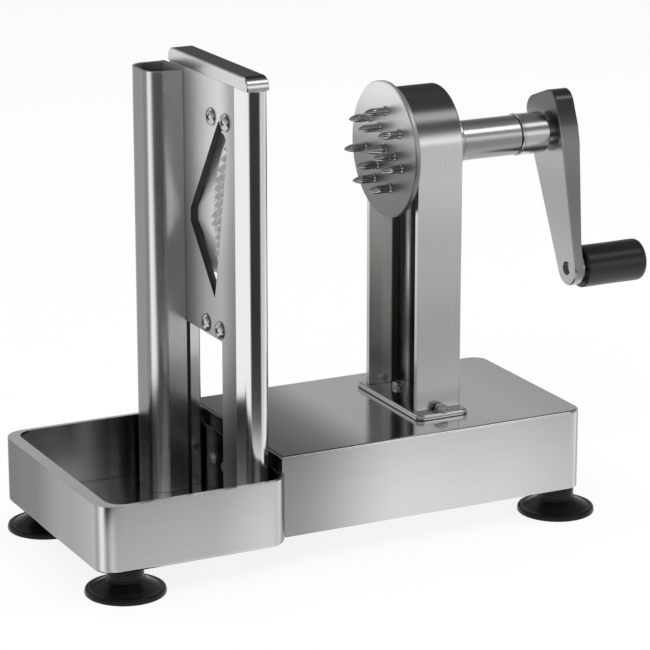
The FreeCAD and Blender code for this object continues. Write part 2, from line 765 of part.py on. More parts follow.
# ---------------------------------------------------------------- base
def makeBase():
    body = newBody("base_shell")
    corner = size.base_corner
    outline = drawOn(body, "top", underside).roundedBox(
        baseLeft, -baseHalf, baseRight, baseHalf, [None, corner, corner, None])
    pad(body, outline, size.base_height)
    rounded(body, size.base_edge, lambda edge: liesAt(edge, "z", baseTop))
    wall = size.base_wall
    hollow = drawOn(body, "top", underside - over).roundedBox(
        baseLeft + wall, -baseHalf + wall, baseRight - wall, baseHalf - wall,
        [None, corner - wall, corner - wall, None])
    pocket(body, hollow, size.base_height + over - wall)
    deckHoles = drawOn(body, "top", deckUnderside - over)
    for x, y in postBoltPlaces:
        deckHoles.circle(x, y, size.post_bolt_radius)
    pocket(body, deckHoles, wall + over * 2)
    wallHoles = drawOn(body, "end", baseLeft - over)
    for y in jointBoltSides:
        wallHoles.circle(y, jointBoltHeight, size.joint_bolt_radius)
    pocket(body, wallHoles, wall + over * 2)

    plate = newBody("base_bottom_plate")
    gap = wall + size.bottom_plate_clearance
    sheetOutline = drawOn(plate, "top", underside).roundedBox(
        baseLeft + gap, -baseHalf + gap, baseRight - gap, baseHalf - gap,
        [None, corner - gap, corner - gap, None])
    pad(plate, sheetOutline, size.bottom_plate_thickness)
    plateHoles = drawOn(plate, "top", underside - over)
    for x, y in (footPlaces["foot_base_near"], footPlaces["foot_base_far"]):
        plateHoles.circle(x, y, size.stud_radius)
    for x, y in standoffPlaces:
        plateHoles.circle(x, y, size.blade_screw_radius)
    pocket(plate, plateHoles, size.bottom_plate_thickness + over * 2)

    group("base_standoffs", [
        cut(cylinder(size.standoff_radius, deckUnderside - plateTop, (x, y, plateTop)),
            cylinder(size.blade_screw_radius, size.plug_height, (x, y, plateTop)))
        for x, y in standoffPlaces])
    group("base_plate_screws", [
        fuse(cylinder(size.blade_screw_radius, size.plug_height, (x, y, underside)),
             cylinder(size.blade_screw_head_radius, size.blade_screw_head_height / 2,
                      (x, y, underside - size.blade_screw_head_height / 2)))
        for x, y in standoffPlaces])


# ---------------------------------------------------------------- feet
def makeFeet():
    """Rubber suction feet: a straight neck, a thin bead, a wide skirt with a rolled lip, hollow below."""
    stud = size.stud_radius
    edge = size.foot_radius
    for label, (x, y) in footPlaces.items():
        body = newBody(label, (x, y, 0))
        turned(body, drawOn(body, "side").polygon([
            (stud, underside),
            (size.foot_neck_radius, underside),
            (size.foot_neck_radius, size.foot_neck_bottom),
            (size.foot_neck_radius + size.foot_bead, size.foot_neck_bottom - size.foot_bead),
            (size.foot_neck_radius + size.foot_bead, size.foot_neck_bottom - size.foot_bead * 2),
            (edge - size.foot_lip_bevel, size.foot_lip),
            (edge, size.foot_lip - size.foot_lip_bevel),
            (edge, size.foot_bottom_bevel),
            (edge - size.foot_bottom_bevel, 0),
            (edge - size.foot_ring, 0),
            (size.stud_head_radius, size.foot_hollow),
            (stud, size.foot_hollow)]), "V_Axis")
        seat = drawOn(body, "top", size.foot_hollow - over).circle(0, 0, size.stud_head_radius)
        pocket(body, seat, size.stud_head_thickness + over)
    studs = []
    nuts = []
    for label, (x, y) in footPlaces.items():
        seatTop = trayFloor if "tray" in label else plateTop
        headBottom = size.foot_hollow
        nutTop = seatTop + size.nut_thickness
        studs.append(fuse(
            cylinder(size.stud_head_radius, size.stud_head_thickness, (x, y, headBottom)),
            cylinder(size.stud_radius, nutTop - headBottom, (x, y, headBottom))))
        nuts.append(cut(hexagon(size.nut_radius, size.nut_thickness, (x, y, seatTop)),
                        cylinder(size.stud_radius, size.nut_thickness, (x, y, seatTop))))
    group("foot_studs", studs)
    group("foot_nuts", nuts)


# ---------------------------------------------------------------- blade frame
def tubeOutlines():
    """Front, near side, far side and corner radii of the near tube and of the rear one."""
    small = size.column_inner_round
    return [(columnFront, nearColumnOut, -panelHalf, [size.column_round] * 2 + [small] * 2),
            (panelBack, rearLegIn, rearLegOut, [small] * 2 + [size.rear_leg_round] * 2)]


def makeColumns():
    """Two closed tubes: the near one carries the panel's edge, the rear one stands behind it."""
    wall = size.column_wall
    for label, (front, low, high, radii) in zip(("front_column", "rear_leg"), tubeOutlines()):
        body = newBody(label)
        outline = drawOn(body, "top", trayFloor).roundedBox(front, low, columnBack, high, radii)
        pad(body, outline, columnTop - trayFloor)
        innerRadii = [radius - wall for radius in radii]
        hollow = drawOn(body, "top", trayFloor - over).roundedBox(
            front + wall, low + wall, columnBack - wall, high - wall, innerRadii)
        pocket(body, hollow, columnTop - trayFloor + over * 2)

        plug = newBody(label + "_plug")
        slack = wall + size.plug_clearance
        filling = drawOn(plug, "top", trayFloor).roundedBox(
            front + slack, low + slack, columnBack - slack, high - slack,
            [radius - slack for radius in radii])
        pad(plug, filling, size.plug_height)
        thread = drawOn(plug, "top", trayFloor - over).circle(
            (front + columnBack) / 2, (low + high) / 2, size.blade_screw_radius)
        pocket(plug, thread, size.plug_height + over * 2)
    head = size.blade_screw_head_height / 2
    group("column_screws", [
        fuse(cylinder(size.blade_screw_radius, size.plug_height, (x, y, underside)),
             cylinder(size.blade_screw_head_radius, head, (x, y, underside - head)))
        for x, y in (nearColumnCentre, rearLegCentre)])


def makeRearChannel():
    """The open-topped channel that stiffens the rear side of the panel."""
    body = newBody("rear_channel")
    front = panelFront - size.channel_depth
    wall = size.channel_wall
    bend = size.channel_round
    outline = drawOn(body, "top", trayFloor).roundedBox(
        front, panelHalf, panelFront, channelOut, [bend, None, None, bend])
    pad(body, outline, channelTop - trayFloor)
    hollow = drawOn(body, "top", trayFloor - over).roundedBox(
        front + wall, panelHalf + wall, panelFront + over, channelOut - wall,
        [bend - wall, None, None, bend - wall])
    pocket(body, hollow, channelTop - trayFloor + over * 2)


def slotOutline():
    """The tapering opening that the strands come out of, as (y, z) points."""
    nearTop = slotTop - size.slot_near_drop
    widest = slotTop - size.slot_far_drop
    return [(size.slot_apex_side, slotTop),
            (size.slot_near_side, nearTop),
            (size.slot_near_side, nearTop - size.slot_near_upright),
            (size.slot_near_foot_side, slotBottom + size.slot_near_rise),
            (size.slot_foot_side, slotBottom),
            (size.slot_far_side, widest - size.slot_far_height),
            (size.slot_far_side, widest)]


def makePanel():
    body = newBody("frame_panel")
    windowTop = carrierBottom - size.window_gap
    outline = drawOn(body, "end", panelFront).polygon([
        (-panelHalf, trayFloor),
        (-panelHalf + size.panel_leg_width, trayFloor),
        (-panelHalf + size.panel_leg_width, windowTop),
        (panelHalf, windowTop),
        (panelHalf, trayFloor),
        (channelOut, trayFloor),
        (channelOut, channelTop),
        (rearLegOut, channelTop),
        (rearLegOut, columnTop),
        (rearLegIn, columnTop),
        (rearLegIn, columnTop + size.cap_lap),
        (-panelHalf, columnTop + size.cap_lap)])
    pad(body, outline, size.panel_thickness)
    slot = drawOn(body, "end", panelFront - over).polygon(slotOutline())
    pocket(body, slot, size.panel_thickness + over * 2)
    holes = drawOn(body, "end", panelFront - over)
    for y, z in bladeScrewPlaces:
        holes.circle(y, z, size.blade_screw_radius)
    pocket(body, holes, size.panel_thickness + over * 2)

    # the cap lies on the tubes, takes the panel's upper edge in its hollow, and has a tongue down each tube
    cap = newBody("frame_cap")
    wall = size.cap_wall
    outline = drawOn(cap, "end", columnFront).roundedBox(
        nearColumnOut + size.column_wall, columnTop, rearLegOut - size.column_wall, frameTop,
        [None, None, size.cap_round, size.cap_round])
    pad(cap, outline, size.column_depth)
    rounded(cap, size.cap_bevel,
            lambda edge: (liesAt(edge, "x", columnFront) or liesAt(edge, "x", columnBack))
            and not liesAt(edge, "z", columnTop), "Chamfer")
    hollow = drawOn(cap, "end", columnFront + wall).box(
        -panelHalf, columnTop - over, rearLegIn, frameTop - wall)
    pocket(cap, hollow, size.column_depth - wall * 2)
    slack = size.column_wall + size.plug_clearance
    for front, low, high, radii in tubeOutlines():
        tongue = drawOn(cap, "top", columnTop - size.cap_tongue).roundedBox(
            front + slack, low + slack, columnBack - slack, high - slack,
            [radius - slack for radius in radii])
        pad(cap, tongue, size.cap_tongue + over)


# ---------------------------------------------------------------- blades
toothColumns = 5
toothTip = 0.13                     # half the width of a tooth's flat tip
toothSteps = 40                     # steps tried above and below the crank axis


def makeBlades():
    carrier = newBody("blade_carrier")
    outline = drawOn(carrier, "end", panelBack).roundedBox(
        size.carrier_near_side, carrierBottom, size.carrier_far_side, carrierTop, [size.carrier_corner] * 4)
    pad(carrier, outline, size.carrier_thickness)
    pocket(carrier, drawOn(carrier, "end", panelBack - over).polygon(slotOutline()),
           size.carrier_thickness + over * 2)
    holes = drawOn(carrier, "end", panelBack - over)
    for y, z in bladeScrewPlaces:
        holes.circle(y, z, size.blade_screw_radius)
    for y, z in rivetPlaces:
        holes.circle(y, z, size.rivet_radius)
    pocket(carrier, holes, size.carrier_thickness + over * 2)

    # a strip with a bowed edge and columns of pyramid teeth that stand in the slot
    strip = newBody("toothed_blade")
    back = size.toothed_back_side
    outline = drawOn(strip, "end", carrierBack).bowedBox(
        back, toothedBottom, size.toothed_foot_side, toothedTop, size.toothed_tip_side, size.toothed_bow)
    pad(strip, outline, size.toothed_thickness)
    stripHoles = drawOn(strip, "end", carrierBack - over)
    for y, z in rivetPlaces[:2]:
        stripHoles.circle(y, z, size.rivet_radius)
    pocket(strip, stripHoles, size.toothed_thickness + over * 2)
    addTeeth(strip)

    # the slicing knife: a foot on the carrier, a slanted web and a land whose edge lies on the crank axis
    knife = newBody("slicing_knife")
    thick = size.knife_thickness
    land = size.knife_land
    reach = size.knife_land_reach
    section = drawOn(knife, "top", toothedBottom).polygon([
        (carrierBack, knifeOut), (carrierBack, knifeBend), (knifeFront, land), (knifeFront, -reach),
        (knifeFront + thick, -reach), (knifeFront + thick, land), (carrierBack + thick, knifeBend),
        (carrierBack + thick, knifeOut)])
    pad(knife, section, toothedTop - toothedBottom)
    edgeTop = axis - size.knife_axis_gap
    clear = drawOn(knife, "end", knifeFront - over).box(
        -reach - over, toothedBottom - over, size.knife_edge_side, edgeTop)
    pocket(knife, clear, thick + over * 2)
    rounded(knife, size.knife_edge_bevel,
            lambda edge: liesAt(edge, "x", knifeFront) and liesAt(edge, "y", size.knife_edge_side), "Chamfer")
    knifeHoles = drawOn(knife, "end", carrierBack - over)
    for y, z in rivetPlaces[2:]:
        knifeHoles.circle(y, z, size.rivet_radius)
    knifeHoles.circle(0, axis, size.pin_radius)
    pocket(knife, knifeHoles, size.knife_standoff + thick + over * 2)

    rivets = []
    for (y, z), sheetBack in zip(rivetPlaces, [toothedBack] * 2 + [carrierBack + thick] * 2):
        rivets.append(fuse(
            cylinder(size.rivet_radius, sheetBack - panelBack, (panelBack, y, z), "X"),
            cylinder(size.rivet_head_radius, size.rivet_head_height, (sheetBack, y, z), "X")))
    group("blade_rivets", rivets)
    radius = size.pin_radius
    flange = radius + size.pin_flange
    lathe("centre_pin", [
        (-size.pin_flange, 0), (-size.pin_flange, flange), (0, flange), (0, radius), (thick, radius),
        (thick, flange), (thick + size.pin_flange, flange), (thick + size.pin_flange, radius),
        (thick + size.pin_length * 0.5, radius), (thick + size.pin_length, 0)], (knifeFront, 0, axis))

    screws = []
    nuts = []
    reach = size.panel_thickness + size.carrier_thickness + size.blade_nut_thickness
    for y, z in bladeScrewPlaces:
        head = size.blade_screw_head_height
        screws.append(fuse(
            cone(size.blade_screw_head_radius * headCrown, size.blade_screw_head_radius,
                 head * (1 - headRim), (panelFront - head, y, z), "X"),
            cylinder(size.blade_screw_head_radius, head * headRim, (panelFront - head * headRim, y, z), "X"),
            cylinder(size.blade_screw_radius, reach, (panelFront, y, z), "X")))
        nuts.append(cut(
            hexagon(size.blade_nut_radius, size.blade_nut_thickness, (carrierBack, y, z), "X"),
            cylinder(size.blade_screw_radius, size.blade_nut_thickness, (carrierBack, y, z), "X")))
    group("blade_screws", screws)
    group("blade_nuts", nuts)


def bowCentre():
    """Centre of the strip's bowed edge as (y, z), from the edge's two ends and its radius."""
    across = (size.toothed_tip_side - size.toothed_foot_side) / 2
    up = (toothedTop - toothedBottom) / 2
    chord = across * across + up * up
    away = root((size.toothed_bow * size.toothed_bow - chord) / chord)
    return size.toothed_foot_side + across - up * away, toothedBottom + up + across * away


def toothFits(side, height):
    """True where a tooth lies on the strip and clear of the slot's outline."""
    half = float(size.tooth_base) / 2
    centre = [float(value) for value in bowCentre()]
    reach = float(size.toothed_bow - size.tooth_margin)
    outline = [(float(y), float(z)) for y, z in slotOutline()]
    for y, z in ((side - half, height - half), (side + half, height - half),
                 (side + half, height + half), (side - half, height + half)):
        if math.hypot(y - centre[0], z - centre[1]) > reach:
            return False
        if not float(toothedBottom) < z < float(toothedTop):
            return False
        for (y1, z1), (y2, z2) in zip(outline, outline[1:] + outline[:1]):
            inward = (y2 - y1) * (z - z1) - (z2 - z1) * (y - y1)
            if inward < float(size.tooth_clearance) * math.hypot(y2 - y1, z2 - z1):
                return False
    return True


def addTeeth(body):
    """Columns of pyramids on the strip's front face; every other column is half a pitch higher."""
    half = size.tooth_base / 2
    tip = toothTip
    peak = bowCentre()[0] + size.toothed_bow
    upright = [item for item in body.Origin.OriginFeatures if item.Role == "Z_Axis"][0]
    for number in range(toothColumns):
        side = peak - size.tooth_inset - half - size.tooth_column_pitch * number
        shift = number % 2 * 0.5
        steps = [step + shift for step in range(-toothSteps, toothSteps)
                 if toothFits(float(side), float(axis + size.tooth_pitch * (step + shift)))]
        if not steps:
            continue
        tooth = body.newObject("PartDesign::AdditiveWedge", body.Label + "Tooth")
        for name, value in (("Xmin", -half), ("Xmax", half), ("Zmin", -half), ("Zmax", half),
                            ("X2min", -tip), ("X2max", tip), ("Z2min", -tip), ("Z2max", tip),
                            ("Ymin", -size.toothed_thickness / 4), ("Ymax", size.tooth_height)):
            bind(tooth, name, value)
        tooth.Placement = Placement(Vector(0, 0, 0), Rotation(Vector(0, 0, 1), 90))
        for letter, value in zip("xyz", (carrierBack, side, axis + size.tooth_pitch * steps[0])):
            bind(tooth, "Placement.Base." + letter, value)
        doc.recompute()
        if len(steps) == 1:
            continue
        row = body.newObject("PartDesign::LinearPattern", body.Label + "Row")
        row.Originals = [tooth]
        row.Direction = (upright, [""])
        bind(row, "Length", size.tooth_pitch * (len(steps) - 1))
        row.Occurrences = len(steps)
        body.Tip = row
        doc.recompute()


# ---------------------------------------------------------------- post
def makePost():
    post = newBody("post")
    pad(post, drawOn(post, "end", postFront).arch(postHalf, footPlateTop, archCentre), size.post_depth)
    wall = size.post_wall
    pocket(post, drawOn(post, "end", postFront - over).arch(postHalf - wall, footPlateTop - over, archCentre),
           size.post_depth + over - wall)
    rounded(post, size.post_inner_round,
            lambda edge: runsAlong(edge, "Z") and liesAt(edge, "x", webFront)
            and abs(abs(edge.Vertexes[0].Y) - float(postHalf - wall)) < 0.01)
    rounded(post, size.post_edge, lambda edge: liesAt(edge, "x", postBack) and not runsAlong(edge, "Y"))
    pocket(post, drawOn(post, "end", webFront - over).circle(0, axis, size.housing_radius), wall + over * 2)

    plate = newBody("post_foot_plate")
    front = postFront - size.foot_plate_front
    back = postBack + size.foot_plate_back
    outline = drawOn(plate, "top", baseTop).roundedBox(
        front, -plateSide, back, plateSide, [size.foot_plate_corner] * 4)
    pad(plate, outline, size.foot_plate_thickness)
    holes = drawOn(plate, "top", baseTop - over)
    for x, y in postBoltPlaces:
        holes.circle(x, y, size.post_bolt_radius)
    pocket(plate, holes, size.foot_plate_thickness + over * 2)

    bolts = []
    washers = []
    nuts = []
    shank = size.post_bolt_radius
    for x, y in postBoltPlaces:
        bolts.append(fuse(
            hexagon(size.post_bolt_head_radius, size.post_bolt_head_height, (x, y, footPlateTop)),
            cylinder(shank, size.post_bolt_length, (x, y, footPlateTop - size.post_bolt_length))))
        washerLow = deckUnderside - size.washer_thickness
        washers.append(cut(cylinder(size.washer_radius, size.washer_thickness, (x, y, washerLow)),
                           cylinder(shank, size.washer_thickness, (x, y, washerLow))))
        nutLow = washerLow - size.blade_nut_thickness
        nuts.append(cut(hexagon(size.post_bolt_head_radius, size.blade_nut_thickness, (x, y, nutLow)),
                        cylinder(shank, size.blade_nut_thickness, (x, y, nutLow))))
    group("post_bolts", bolts)
    group("post_washers", washers)
    group("post_nuts", nuts)


# ---------------------------------------------------------------- bearing and quill
def makeBearing():
    hole = quillHole
    front = webFront - size.housing_front
    bevel = size.ring_chamfer
    housing = lathe("bearing_housing", [
        (front, hole), (front, size.housing_radius), (postBack, size.housing_radius),
        (ringFront, size.housing_radius), (ringFront, size.ring_radius), (ringBack - bevel, size.ring_radius),
        (ringBack, size.ring_radius - bevel), (ringBack, hole)], (0, 0, axis))
    keyX = (ringFront + ringBack) / 2
    keyHole = drawOn(housing, "top", -size.ring_radius - over).circle(keyX, 0, size.set_screw_radius)
    pocket(housing, keyHole, size.ring_radius - size.quill_radius + over * 2)

    nutBack = webFront
    nut = cut(hexagon(size.ring_nut_radius, size.ring_nut_thickness,
                      (nutBack - size.ring_nut_thickness, 0, axis), "X"),
              cylinder(size.housing_radius, size.ring_nut_thickness,
                       (nutBack - size.ring_nut_thickness, 0, axis), "X"))
    keep("housing_nut", nut)

    keyTop = size.quill_radius - size.keyway_depth + size.key_clearance
    reach = size.ring_radius - size.set_screw_sink
    shoulder = -quillHole - size.set_screw_point
    body = newBody("key_screw", (keyX, 0, axis))
    radius = size.set_screw_radius
    tip = size.keyway_width / 2 - size.key_clearance
    turned(body, drawOn(body, "side").polygon([
        (0, -reach), (radius, -reach), (radius, shoulder), (tip, shoulder),
        (tip, -keyTop), (0, -keyTop)]), "V_Axis")

    quill = newBody("quill", (0, 0, axis))
    turned(quill, drawOn(quill, "side").polygon([
        (quillFront, size.quill_bore), (quillFront, size.quill_radius),
        (quillBack, size.quill_radius), (quillBack, size.quill_bore)]))
    half = size.keyway_width / 2
    keyway = drawOn(quill, "top", -size.quill_radius - over).box(
        keyX - half, -half, keyX + size.quill_travel + half, half)
    pocket(quill, keyway, size.keyway_depth + over)

    length = size.bush_length
    bushes = []
    for start in (quillFront, quillBack - length):
        bushes.append(cut(cylinder(size.quill_bore, length, (start, 0, axis), "X"),
                          cylinder(shaftHole, length, (start, 0, axis), "X")))
    group("quill_bushes", bushes)


# ---------------------------------------------------------------- disc, shaft, collar
def makeSpindle():
    spigot = size.spigot_radius
    bevel = size.disc_edge
    disc = lathe("spiked_disc", [
        (discFront, spigot), (discFront, size.disc_radius - bevel), (discFront + bevel, size.disc_radius),
        (discBack - bevel, size.disc_radius), (discBack, size.disc_radius - bevel),
        (discBack, size.hub_radius), (hubEnd, size.hub_radius), (hubEnd, spigot)], (0, 0, axis))
    rootDepth = size.spike_root
    sockets = drawOn(disc, "end", discFront - over)
    for y, z in spikePlaces():
        sockets.circle(y, z, size.spike_radius)
    pocket(disc, sockets, rootDepth + over)

    spikes = []
    flare = size.spike_collar_height
    straight = size.spike_straight
    shoulder = size.spike_shoulder
    for y, z in spikePlaces():
        height = axis + z
        spikes.append(fuse(
            cylinder(size.spike_radius, rootDepth + straight, (discFront - straight, y, height), "X"),
            cylinder(size.spike_collar_radius, flare, (discFront - flare, y, height), "X"),
            cone(size.spike_shoulder_radius, size.spike_radius, shoulder,
                 (discFront - straight - shoulder, y, height), "X"),
            cone(size.spike_shoulder_radius / 9, size.spike_shoulder_radius,
                 size.spike_length - straight - shoulder, (discFront - size.spike_length, y, height), "X")))
    group("spikes", spikes)

    lathe("centre_point", [
        (-size.point_length, 0), (-size.point_flange, size.point_radius), (0, size.point_radius), (0, 0)],
        (discFront, 0, axis))

    half = size.square_side / 2
    shaft = lathe("crank_shaft", [
        (discFront, 0), (discFront, spigot), (hubEnd, spigot), (hubEnd, size.shaft_radius),
        (armFront, size.shaft_radius), (armBack, size.shaft_radius), (armBack, 0)], (0, 0, axis),
        ((1, 0, 0), -tilt))
    far = size.shaft_radius + 1
    for left, low, right, high in ((-far, half, far, far), (-far, -far, far, -half),
                                   (half, -far, far, far), (-far, -far, -half, far)):
        flat = drawOn(shaft, "end", armFront).box(left, low, right, high)
        pocket(shaft, flat, size.arm_thickness + over)
    tap = drawOn(shaft, "end", armBack - size.arm_screw_length).circle(0, 0, size.arm_screw_radius)
    pocket(shaft, tap, size.arm_screw_length + over)

    ease = size.collar_bevel
    main = size.collar_radius - size.collar_step
    lipEnd = collarFront + size.collar_lip + ease
    collar = lathe("collar", [
        (collarFront, size.shaft_radius), (collarFront, size.collar_radius - ease),
        (collarFront + ease, size.collar_radius), (lipEnd, size.collar_radius),
        (lipEnd + ease, main), (collarBack - ease, main), (collarBack, main - ease),
        (collarBack, size.collar_neck_radius), (armFront, size.collar_neck_radius),
        (armFront, size.shaft_radius)], (0, 0, axis), ((1, 0, 0), -tilt))
    screwX = (collarFront + collarBack) / 2
    screwHole = drawOn(collar, "top", -size.collar_radius - over).circle(screwX, 0, size.set_screw_radius)
    pocket(collar, screwHole, size.collar_radius + over - size.shaft_radius)
    body = newBody("collar_screw", (screwX, 0, axis), ((1, 0, 0), -tilt))
    turned(body, drawOn(body, "side").polygon([
        (0, size.set_screw_sink - main), (size.set_screw_radius, size.set_screw_sink - main),
        (size.set_screw_radius, -size.shaft_radius - size.set_screw_point), (0, -size.shaft_radius)]),
        "V_Axis")


# circle, number of spikes on it, degrees from the top to the first one
spikeRings = [(size.spike_circle, 7, 5.0), (size.inner_spike_circle, 3, -23.0)]


def spikePlaces():
    """The spikes' places as (y, height above the axis)."""
    places = []
    for circle, count, start in spikeRings:
        for number in range(count):
            angle = math.radians(start) + math.tau / count * number
            places.append((circle * math.sin(-angle), circle * math.cos(angle)))
    return places


# ---------------------------------------------------------------- crank arm and grip
def makeArm():
    """The arm hangs along its own -Z axis; its placement gives it the tilt."""
    swing = ((1, 0, 0), -tilt)
    arm = newBody("crank_arm", (0, 0, axis), swing)
    wide = size.arm_width / 2
    narrow = size.arm_tip_width / 2
    head = size.arm_head
    crown = wide - size.arm_head_taper
    reach = size.arm_reach
    pad(arm, drawOn(arm, "end", armFront).polygon([
        (-wide, 0), (-narrow, -reach), (-narrow, -reach - narrow), (narrow, -reach - narrow),
        (narrow, -reach), (wide, 0), (crown, head), (-crown, head)]), size.arm_thickness)
    taper = drawOn(arm, "side", size.arm_width).polygon([
        (armBack, -size.arm_flat), (tipBack, size.arm_tip_flat - reach), (tipBack, -reach - head),
        (armBack + over, -reach - head), (armBack + over, -size.arm_flat)])
    pocket(arm, taper, size.arm_width * 2)
    rounded(arm, size.arm_head_round, lambda edge: runsAlong(edge, "X") and liesAt(edge, "z", head))
    rounded(arm, narrow - 0.05, lambda edge: runsAlong(edge, "X") and liesAt(edge, "z", -reach - narrow))
    rounded(arm, size.arm_edge, lambda edge: liesAt(edge, "x", armFront), "Chamfer")
    half = size.square_side / 2 + size.square_clearance
    square = drawOn(arm, "end", armFront - over).box(-half, -half, half, half)
    pocket(arm, square, size.arm_thickness + over * 2)
    pocket(arm, drawOn(arm, "end", armFront - over).circle(0, -reach, size.axle_neck_radius),
           size.arm_thickness + over * 2)
    pocket(arm, drawOn(arm, "end", armFront - over).circle(0, -reach, size.axle_head_radius),
           size.axle_head_recess + size.axle_head_height + over)

    lathe("arm_washer", [
        (0, size.arm_screw_radius), (0, size.arm_washer_radius),
        (size.arm_washer_thickness, size.arm_washer_radius),
        (size.arm_washer_thickness, size.arm_screw_radius)], (armBack, 0, axis))
    headX = size.arm_washer_thickness
    screwHead = size.arm_screw_head_height
    lathe("arm_screw", [
        (-size.arm_screw_length, 0), (-size.arm_screw_length, size.arm_screw_radius),
        (headX, size.arm_screw_radius),
        (headX, size.arm_screw_head_radius), (headX + screwHead * headRim, size.arm_screw_head_radius),
        (headX + screwHead, size.arm_screw_head_radius * headCrown), (headX + screwHead, 0)],
        (armBack, 0, axis))

    place = (0, gripSide, gripHeight)
    neck = size.axle_neck_radius
    headFront = armFront + size.axle_head_recess
    headBack = headFront + size.axle_head_height
    axleEnd = gripBack - size.grip_cap_recess - size.grip_cap_thickness - 1
    lathe("grip_axle", [
        (headFront, 0), (headFront, size.axle_head_radius), (headBack, size.axle_head_radius),
        (headBack, neck), (tipBack, neck), (tipBack, size.axle_radius), (axleEnd, size.axle_radius),
        (axleEnd, 0)], place)
    lathe("grip_washer", [
        (tipBack, size.axle_radius), (tipBack, size.tip_washer_radius),
        (tipBack + size.tip_washer_thickness, size.tip_washer_radius),
        (tipBack + size.tip_washer_thickness, size.axle_radius)], place)

    axleHole = size.axle_radius + size.turning_clearance
    capSeat = gripBack - size.grip_cap_recess - size.grip_cap_thickness
    lathe("grip_sleeve", [
        (gripFront, axleHole), (gripFront, size.sleeve_radius), (capSeat, size.sleeve_radius),
        (capSeat, axleHole)], place)
    grip = lathe("grip", [
        (gripFront, size.sleeve_radius), (gripFront, size.grip_radius), (gripBack, size.grip_radius),
        (gripBack, size.grip_cap_radius), (capSeat, size.grip_cap_radius), (capSeat, size.sleeve_radius)],
        place)
    rounded(grip, size.grip_end_round, lambda edge: ringAt(edge, size.grip_radius, gripBack))
    rounded(grip, size.grip_near_bevel, lambda edge: ringAt(edge, size.grip_radius, gripFront), "Chamfer")
    capEnd = capSeat + size.grip_cap_thickness
    lathe("grip_cap", [
        (capSeat, 0), (capSeat, size.grip_cap_radius), (capEnd, size.grip_cap_radius), (capEnd, 0)], place)


# ---------------------------------------------------------------- bolts between tray and base
def makeJointBolts():
    radius = size.joint_bolt_radius
    trayFace = baseLeft - size.tray_wall
    baseFace = baseLeft + size.base_wall
    reach = size.tray_wall + size.base_wall + size.blade_nut_thickness + size.joint_bolt_tail
    bolts = []
    nuts = []
    for y in jointBoltSides:
        bolts.append(fuse(
            cone(size.joint_bolt_head_radius * headCrown, size.joint_bolt_head_radius,
                 size.joint_bolt_head_height,
                 (trayFace - size.joint_bolt_head_height, y, jointBoltHeight), "X"),
            cylinder(radius, reach, (trayFace, y, jointBoltHeight), "X")))
        nutAt = (baseFace, y, jointBoltHeight)
        nuts.append(cut(hexagon(size.blade_nut_radius, size.blade_nut_thickness, nutAt, "X"),
                        cylinder(radius, size.blade_nut_thickness, nutAt, "X")))
    group("joint_bolts", bolts)
    group("joint_nuts", nuts)


makeTray()
makeBase()
makeFeet()
makeColumns()
makeRearChannel()
makePanel()
makeBlades()
makePost()
makeBearing()
makeSpindle()
makeArm()
makeJointBolts()
doc.recompute()

# ---------------------------------------------------------------- checks and files
for thing in doc.Objects:
    if "Invalid" in thing.State or "Error" in thing.State:
        raise RuntimeError("%s (%s) failed" % (thing.Label, thing.Name))
for piece in pieces:
    if piece.Shape.isNull() or not piece.Shape.isValid() or not piece.Shape.Solids:
        raise RuntimeError(piece.Label + " has no valid shape")

os.makedirs("parts", exist_ok=True)
for piece in pieces:
    piece.Shape.exportStep("parts/%s.step" % piece.Label)
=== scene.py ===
import math

import bmesh
import bpy
from mathutils import Matrix, Vector


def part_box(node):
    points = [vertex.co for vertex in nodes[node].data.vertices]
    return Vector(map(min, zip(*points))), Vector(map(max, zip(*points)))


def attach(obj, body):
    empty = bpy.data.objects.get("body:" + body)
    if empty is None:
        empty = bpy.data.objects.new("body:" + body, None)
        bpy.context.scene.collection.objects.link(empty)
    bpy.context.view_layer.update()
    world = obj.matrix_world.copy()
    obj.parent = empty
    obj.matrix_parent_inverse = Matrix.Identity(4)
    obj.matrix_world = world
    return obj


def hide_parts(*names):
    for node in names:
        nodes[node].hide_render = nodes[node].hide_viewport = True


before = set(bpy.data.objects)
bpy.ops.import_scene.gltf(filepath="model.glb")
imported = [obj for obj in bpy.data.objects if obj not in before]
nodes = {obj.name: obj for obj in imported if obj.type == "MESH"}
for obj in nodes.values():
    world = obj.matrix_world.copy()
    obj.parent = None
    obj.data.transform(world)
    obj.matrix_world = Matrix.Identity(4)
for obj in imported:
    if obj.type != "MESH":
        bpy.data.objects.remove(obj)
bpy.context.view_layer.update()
print("frame loaded:", len(nodes), "nodes")

mm = 0.001


def newObject(name, data):
    made = bpy.data.objects.new(name, data)
    bpy.context.scene.collection.objects.link(made)
    return made


def aimed(thing, place, ahead):
    thing.location = place
    thing.rotation_mode = "QUATERNION"
    thing.rotation_quaternion = ahead.to_track_quat("-Z", "Y")


def outwards(azimuth, elevation):
    # a direction in degrees from -Y towards +X, and upwards
    flat = math.cos(math.radians(elevation))
    return Vector((math.sin(math.radians(azimuth)) * flat,
                   -math.cos(math.radians(azimuth)) * flat,
                   math.sin(math.radians(elevation))))


